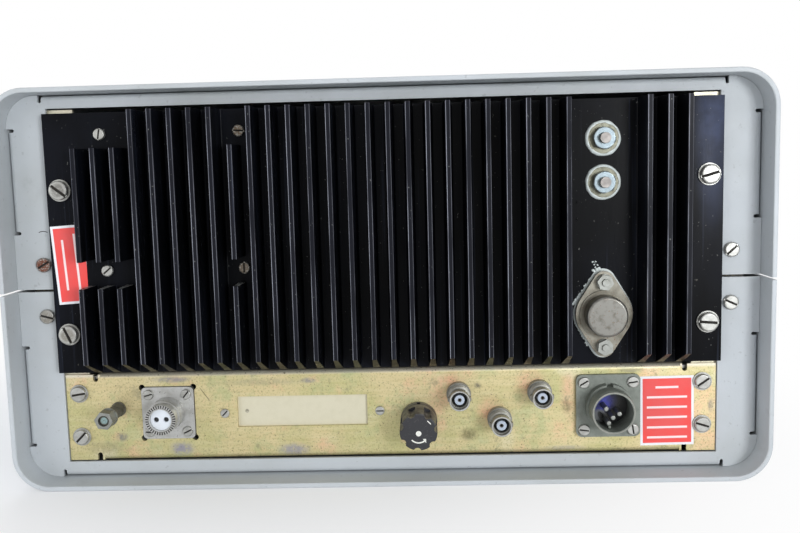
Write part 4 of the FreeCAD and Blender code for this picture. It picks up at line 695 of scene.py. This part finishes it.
def socket_ring():
    """The toothed face of the two-pin socket's ring and its lip, with a painted shade disc under the teeth,
    and the dark mouths of the contacts.
    """
    x, z = SOCKET
    face = SOCKET_TIP
    mesh = bmesh.new()
    # Painted shade: a dark disc under the teeth, so the gaps between them read dark
    gaps = ((5.5, face - 0.2), (SOCKET_RING - 0.1, face - 0.2), (SOCKET_RING - 0.15, face + 0.04),
            (5.5, face + 0.04))
    lathe(mesh, x, z, lambda step: gaps, turns=64)
    build("socket_ring_painted_shade", mesh, grime_and_shade)
    mesh = bmesh.new()
    for tooth in range(SOCKET_TEETH):
        turn = 360 * tooth / SOCKET_TEETH
        angle = math.radians(turn)
        reach = SOCKET_RING - 0.78
        bar(mesh, x + reach * math.cos(angle), z + reach * math.sin(angle), face - 0.3, face + 0.3,
            1.62, 0.66, turn=-turn, lean=0.08)
    lip = ((5.12, face - 0.3), (5.7, face - 0.3), (5.6, face + 0.22), (5.2, face + 0.22))
    lathe(mesh, x, z, lambda step: lip, turns=64)
    build("socket_toothed_ring", mesh, connector_nickel, sharp=25)
    mesh = bmesh.new()
    for side in (-1, 1):
        mouth = ((0, face - 3.0), (1.2, face - 3.0), (1.2, face - 2.2), (0, face - 2.2))
        lathe(mesh, x + side * 2.35, z, lambda step: mouth, turns=24)
    build("socket_contact_shadows", mesh, ink)


def inlet_details():
    """Thread ridges of the power inlet, its worn lip and a keyway rib inside."""
    mesh = bmesh.new()
    thread(mesh, *INLET, INLET_BARREL - 0.02, INLET_BARREL + 0.28, INLET_COLLAR + 0.8,
           INLET_TIP - 1.2, 1.25)
    build("inlet_thread", mesh, grey_plate, sharp=60)
    mesh = bmesh.new()
    lip = ((9.3, INLET_TIP - 0.2), (9.85, INLET_TIP - 0.2), (9.75, INLET_TIP + 0.1),
           (9.4, INLET_TIP + 0.1))
    lathe(mesh, *INLET, lambda step: lip, turns=72)
    build("inlet_worn_lip", mesh, coax_grey)
    mesh = bmesh.new()
    x, z = INLET
    bar(mesh, x + 1.0, z - 7.9, 152.2, 160.5, 1.5, 1.6, turn=8, lean=0.2)
    bar(mesh, x + 3.9, z + 7.0, 152.2, 159.5, 1.7, 1.3, turn=-30, lean=0.2)
    bar(mesh, x + 7.7, z + 1.0, 152.2, 158.5, 1.2, 2.0, turn=0, lean=0.2)
    build("inlet_key_ribs", mesh, grey_plate)


def coax_details():
    """Fine thread and a bright worn lip on each coaxial jack."""
    threads, lips = bmesh.new(), bmesh.new()
    for x, z in COAX:
        thread(threads, x, z, COAX_NECK, COAX_NECK + 0.75, PANEL_FACE + 3.2, PANEL_FACE + 8.6, 0.75)
        lip = ((4.1, COAX_TIP - 0.15), (4.72, COAX_TIP - 0.15), (4.6, COAX_TIP + 0.12),
               (4.25, COAX_TIP + 0.12))
        lathe(lips, x, z, lambda step: lip, turns=40)
    build("coax_threads", threads, coax_grey, sharp=60)
    build("coax_lips", lips, connector_nickel)


def fuse_marks():
    """The painted dot, the curved arrow and the index tick on the fuse cap."""
    x, z = FUSE[0], FUSE[1] - 0.6
    low, high = FUSE_FACE - 0.04, FUSE_FACE + 0.09
    mesh = bmesh.new()
    dot = ((0, low), (1.32, low), (1.2, high), (0, high + 0.03))
    lathe(mesh, x, z, lambda step: dot, turns=28)
    ribbon(mesh, x, z, low, high, 4.3, 0.62, 180 + 138, 180 + 52)
    head = []
    for angle, reach in ((233, 5.6), (233, 3.1), (216, 4.2)):
        spot = math.radians(angle)
        head.append((x + reach * math.cos(spot), z + reach * math.sin(spot)))
    low_face = [mesh.verts.new((px, low, pz)) for px, pz in head]
    high_face = [mesh.verts.new((px, high, pz)) for px, pz in head]
    mesh.faces.new(low_face)
    mesh.faces.new(high_face[::-1])
    for at in range(3):
        after = (at + 1) % 3
        mesh.faces.new((low_face[at], low_face[after], high_face[after], high_face[at]))
    bar(mesh, x - 4.9, z + 5.2, low, high, 2.2, 0.45, turn=-45)
    build("fuse_cap_marks", mesh, white_ink, body="fuse_cap")


def smears():
    """Squeezed-out grease round the diodes' washers and along the transistor's upper edges."""
    draw = random.Random(GREASE_SEED)
    mesh = bmesh.new()
    for z in DIODES:
        turns = 56
        swell = [draw.uniform(-0.16, 0.24) for step in range(turns)]
        swell = [(swell[step - 1] + 2 * swell[step] + swell[(step + 1) % turns]) / 4
                 for step in range(turns)]

        def profile(step):
            reach = 7.85 + swell[step]
            return ((6.9 - swell[step], SINK_FACE + 1.16), (7.3, SINK_FACE + 1.3), (reach, SINK_FACE + 0.9),
                    (reach + 0.25, SINK_FACE + 0.02), (7.0, SINK_FACE + 0.02))

        lathe(mesh, FLAT_X, z, profile, turns=turns)
    build("diode_grease", mesh, grease, sharp=80)
    mesh = bmesh.new()
    top = TRANSISTOR_Z + EAR_REACH + 5.0
    blobs = [(FLAT_X + draw.gauss(1.8, 1.3), top + draw.gauss(0.2, 0.4), draw.uniform(0.4, 0.9))
             for blob in range(10)]
    blobs += [(FLAT_X + 3.4 + draw.gauss(0, 0.6), top + 1.2 + draw.uniform(0, 4), draw.uniform(0.15, 0.35))
              for blob in range(9)]
    for blob in range(26):
        share = draw.random()
        blobs.append((FLAT_X + 5.8 + share * 8.0 + draw.gauss(0, 0.25),
                      top - 3.6 - share * 12.5 + draw.gauss(0, 0.25), draw.uniform(0.3, 0.75)))
    for blob in range(16):
        share = draw.random()
        blobs.append((FLAT_X + 13.6 - share * 6.5, TRANSISTOR_Z - 3.0 - share * 12.0,
                      draw.uniform(0.25, 0.5)))
    for x, z, radius in blobs:
        shape = Matrix.Translation((x, SINK_FACE + 0.1, z)) @ Matrix.Rotation(draw.uniform(0, 3.1), 4, "Y")
        shape = shape @ Matrix.Diagonal((radius * draw.uniform(1.0, 1.8), radius * 0.45, radius, 1))
        bmesh.ops.create_icosphere(mesh, subdivisions=2, radius=1.0, matrix=shape)
    build("transistor_grease", mesh, grease, sharp=80)


def studs():
    """Thread ridges on the diode studs, the transistor's screws and the ground stud."""
    mesh = bmesh.new()
    for z in DIODES:
        thread(mesh, FLAT_X, z, 2.36, 2.52, SINK_FACE + 4.7, SINK_FACE + 6.9, 0.7)
    for side in (-1, 1):
        z = TRANSISTOR_Z + side * EAR_REACH
        thread(mesh, FLAT_X, z, 1.56, 1.72, SINK_FACE + 6.9, SINK_FACE + 7.7, 0.5)
    build("stud_threads", mesh, nickel, sharp=60)
    mesh = bmesh.new()
    thread(mesh, *GROUND, 2.95, 3.15, PANEL_FACE + 1.3, PANEL_FACE + 13.4, 0.9)
    build("ground_stud_thread", mesh, stud, sharp=60)


def frame_marks():
    """A small curved scrape in the enamel of the rear frame."""
    mesh = bmesh.new()
    ribbon(mesh, 161.3, 118.2, FRAME_FACE - 0.05, FRAME_FACE + 0.02, 4.5, 0.35, 62, 118, steps=12)
    build("frame_scrape", mesh, grime_and_shade)


# Front details

def knob_lines():
    """The white pointer in each knob's groove."""
    for body, (x, z, radius) in KNOBS.items():
        mesh = bmesh.new()
        bar(mesh, x, z + 0.46 * radius, KNOB_FRONT + 0.1, KNOB_FRONT + 0.5, 0.5 * radius, 0.85,
            turn=90, lean=0.02)
        build(body + "_pointer", mesh, white_ink, body=body)


def front_ticks():
    """Ticks and plain numbers round the knobs, printed on the panel."""
    mesh = bmesh.new()
    low, high = FRONT_FACE - 0.06, FRONT_FACE + 0.03
    for body, (x, z, radius) in KNOBS.items():
        selector = "selector" in body
        sweep, steps = SELECTOR_MARKS if selector else GAIN_MARKS
        for step in range(steps):
            turn = -sweep + 2 * sweep * step / (steps - 1)
            angle = math.radians(turn)
            reach = radius + 2.6
            bar(mesh, x + reach * math.sin(angle), z + reach * math.cos(angle), low, high, 2.2, 0.45,
                turn=turn + 90)
            if selector or step % 2 == 0:
                number = step + 1 if selector else step
                far = radius + 6.6
                digits(mesh, str(number), x + far * math.sin(angle), FRONT_FACE - 0.03,
                       z + far * math.cos(angle), 3.6)
    build("front_panel_ticks", mesh, white_ink)


def dial_scale():
    """Ticks and plain numbers on the turning dial, and the fixed red hairline before it."""
    mesh = bmesh.new()
    low, high = DIAL_FACE - 0.05, DIAL_FACE + 0.03
    ribbon(mesh, 0, DIAL_Z, low, high, DIAL_RING, 0.3, 0, 360, steps=120)
    for step in range(DIAL_TICKS):
        turn = 360 * step / DIAL_TICKS
        size = 5.0 if step % 4 == 0 else 2.6
        angle = math.radians(turn)
        reach = DIAL_RING - 0.2 - size / 2
        bar(mesh, reach * math.sin(angle), DIAL_Z + reach * math.cos(angle), low, high, size, 0.32,
            turn=turn + 90)
    for step in range(DIAL_NUMBERS):
        turn = 360 * step / DIAL_NUMBERS
        angle = math.radians(turn)
        digits(mesh, str(step), DIAL_NUMBER_REACH * math.sin(angle), DIAL_FACE - 0.02,
               DIAL_Z + DIAL_NUMBER_REACH * math.cos(angle), 3.8, turn=turn)
    build("dial_scale_print", mesh, ink, body="dial")
    mesh = bmesh.new()
    bar(mesh, 0, WINDOW_Z, FRONT_FACE + 3.02, FRONT_FACE + 3.15, 19.0, 0.35, turn=90)
    build("dial_hairline", mesh, red_ink)


def window_frame():
    """The thin metal frame round the dial window's lip."""
    mesh = bmesh.new()
    low, high = FRONT_FACE - 1.8, FRONT_FACE - 0.05
    for side in (-1, 1):
        bar(mesh, 0, WINDOW_Z + side * 11.9, high, low, 66.4, 2.0, lean=0.35)
        bar(mesh, side * 32.1, WINDOW_Z, high, low, 2.2, 21.9, lean=0.35)
    build("dial_window_frame", mesh, spun)


def meter_scale():
    """The cream card behind the needle with its arc, ticks and numbers."""
    x, z = METER
    mesh = bmesh.new()
    bar(mesh, x, z + 12.0, METER_PLATE + 0.02, METER_PLATE - 0.2, 57.0, 37.0, lean=0.1)
    build("meter_card", mesh, scale_ink)
    mesh = bmesh.new()
    low, high = METER_PLATE - 0.26, METER_PLATE - 0.18
    ribbon(mesh, x, z, low, high, METER_ARC, 0.4, 90 - METER_SWING / 2, 90 + METER_SWING / 2)
    for step in range(METER_STEPS + 1):
        turn = METER_SWING * (step / METER_STEPS - 0.5)
        angle = math.radians(turn)
        size = 3.4 if step % 2 == 0 else 2.0
        reach = METER_ARC + size / 2
        bar(mesh, x + reach * math.sin(angle), z + reach * math.cos(angle), low, high, size, 0.4,
            turn=turn + 90)
        if step % 2 == 0:
            digits(mesh, str(step), x + METER_NUMBER_REACH * math.sin(angle), METER_PLATE - 0.22,
                   z + METER_NUMBER_REACH * math.cos(angle), 3.6)
    build("meter_print", mesh, ink)
    mesh = bmesh.new()
    ribbon(mesh, x, z, low - 0.02, high, METER_ARC - 1.1, 1.0, 90 - METER_SWING / 2, 72)
    build("meter_red_arc", mesh, red_ink)


def lamp_bezel():
    """The bright ring round the lamp's jewel."""
    mesh = bmesh.new()
    ring = ((5.65, FRONT_FACE), (7.6, FRONT_FACE), (7.4, FRONT_FACE - 1.2), (6.6, FRONT_FACE - 1.9),
            (5.75, FRONT_FACE - 1.9))
    lathe(mesh, *LAMP, lambda step: ring, turns=48)
    build("lamp_bezel", mesh, nickel)


screw_slots()
socket_ring()
inlet_details()
coax_details()
fuse_marks()
smears()
studs()
frame_marks()
knob_lines()
front_ticks()
dial_scale()
window_frame()
meter_scale()
lamp_bezel()


# Stage: a pale floor that fades into a white background, soft light and three lamps

def stage():
    """The floor and the world's light; both look white to the camera's own rays."""
    bpy.ops.mesh.primitive_plane_add(size=12, location=(0, 0, -0.0002))
    floor = bpy.context.object
    floor.name = "floor"
    ground = Surface("pale_floor", (240, 242, 246), roughness=0.7, Specular_IOR_Level=0.2)
    ground.bump(ground.noise(30), 0.02, 0.001)
    offset = ground.node("ShaderNodeVectorMath", {0: ground.place, 1: (0.11, 0, 0)},
                         operation="SUBTRACT").outputs[0]
    reach = ground.node("ShaderNodeVectorMath", {0: offset}, operation="LENGTH").outputs["Value"]
    far = ground.span(reach, 0.0, 0.4, smooth=True)
    glow = ground.node("ShaderNodeEmission", {"Color": (1, 1, 1, 1), "Strength": 1.0})
    mix = ground.node("ShaderNodeMixShader", {0: ground.times(far, seen_rays(ground.tree)),
                                              1: ground.shader.outputs[0], 2: glow.outputs[0]})
    ground.tree.links.new(mix.outputs[0], ground.tree.nodes["Material Output"].inputs["Surface"])
    floor.data.materials.append(ground.material)
    world = bpy.data.worlds.new("studio")
    bpy.context.scene.world = world
    world.use_nodes = True
    tree = world.node_tree
    light = tree.nodes["Background"]
    light.inputs["Color"].default_value = (0.97, 0.985, 1.0, 1)
    light.inputs["Strength"].default_value = WORLD_LIGHT
    white_world = tree.nodes.new("ShaderNodeBackground")
    white_world.inputs["Color"].default_value = (1, 1, 1, 1)
    white_world.inputs["Strength"].default_value = 1.0
    mix = tree.nodes.new("ShaderNodeMixShader")
    tree.links.new(seen_rays(tree), mix.inputs[0])
    tree.links.new(light.outputs[0], mix.inputs[1])
    tree.links.new(white_world.outputs[0], mix.inputs[2])
    tree.links.new(mix.outputs[0], tree.nodes["World Output"].inputs["Surface"])


def seen_rays(tree):
    """1 for the rays that the camera, a gloss or a clear piece sends."""
    path = tree.nodes.new("ShaderNodeLightPath")
    total = path.outputs["Is Camera Ray"]
    for kind in ("Is Glossy Ray", "Is Transmission Ray"):
        made = tree.nodes.new("ShaderNodeMath")
        made.operation = "MAXIMUM"
        tree.links.new(total, made.inputs[0])
        tree.links.new(path.outputs[kind], made.inputs[1])
        total = made.outputs[0]
    return total


def lamp(name, place, target, size, power, color):
    """A square soft lamp aimed at a point."""
    data = bpy.data.lights.new(name, "AREA")
    data.size = size
    data.energy = power
    data.color = color
    lamp_object = bpy.data.objects.new(name, data)
    lamp_object.location = place
    way = Vector(target) - Vector(place)
    lamp_object.rotation_euler = way.to_track_quat("-Z", "Y").to_euler()
    bpy.context.collection.objects.link(lamp_object)


def camera():
    """The camera that the photographed view was fitted with."""
    data = bpy.data.cameras.new("camera")
    data.lens = CAMERA_LENS
    data.sensor_width = CAMERA_SENSOR
    data.clip_start = 0.01
    view = bpy.data.objects.new("camera", data)
    view.location = CAMERA_PLACE
    view.rotation_euler = [math.radians(angle) for angle in CAMERA_TURN]
    bpy.context.collection.objects.link(view)
    bpy.context.scene.camera = view


stage()
for settings in LAMPS:
    lamp(*settings)
camera()
bpy.context.scene.view_settings.view_transform = "Standard"
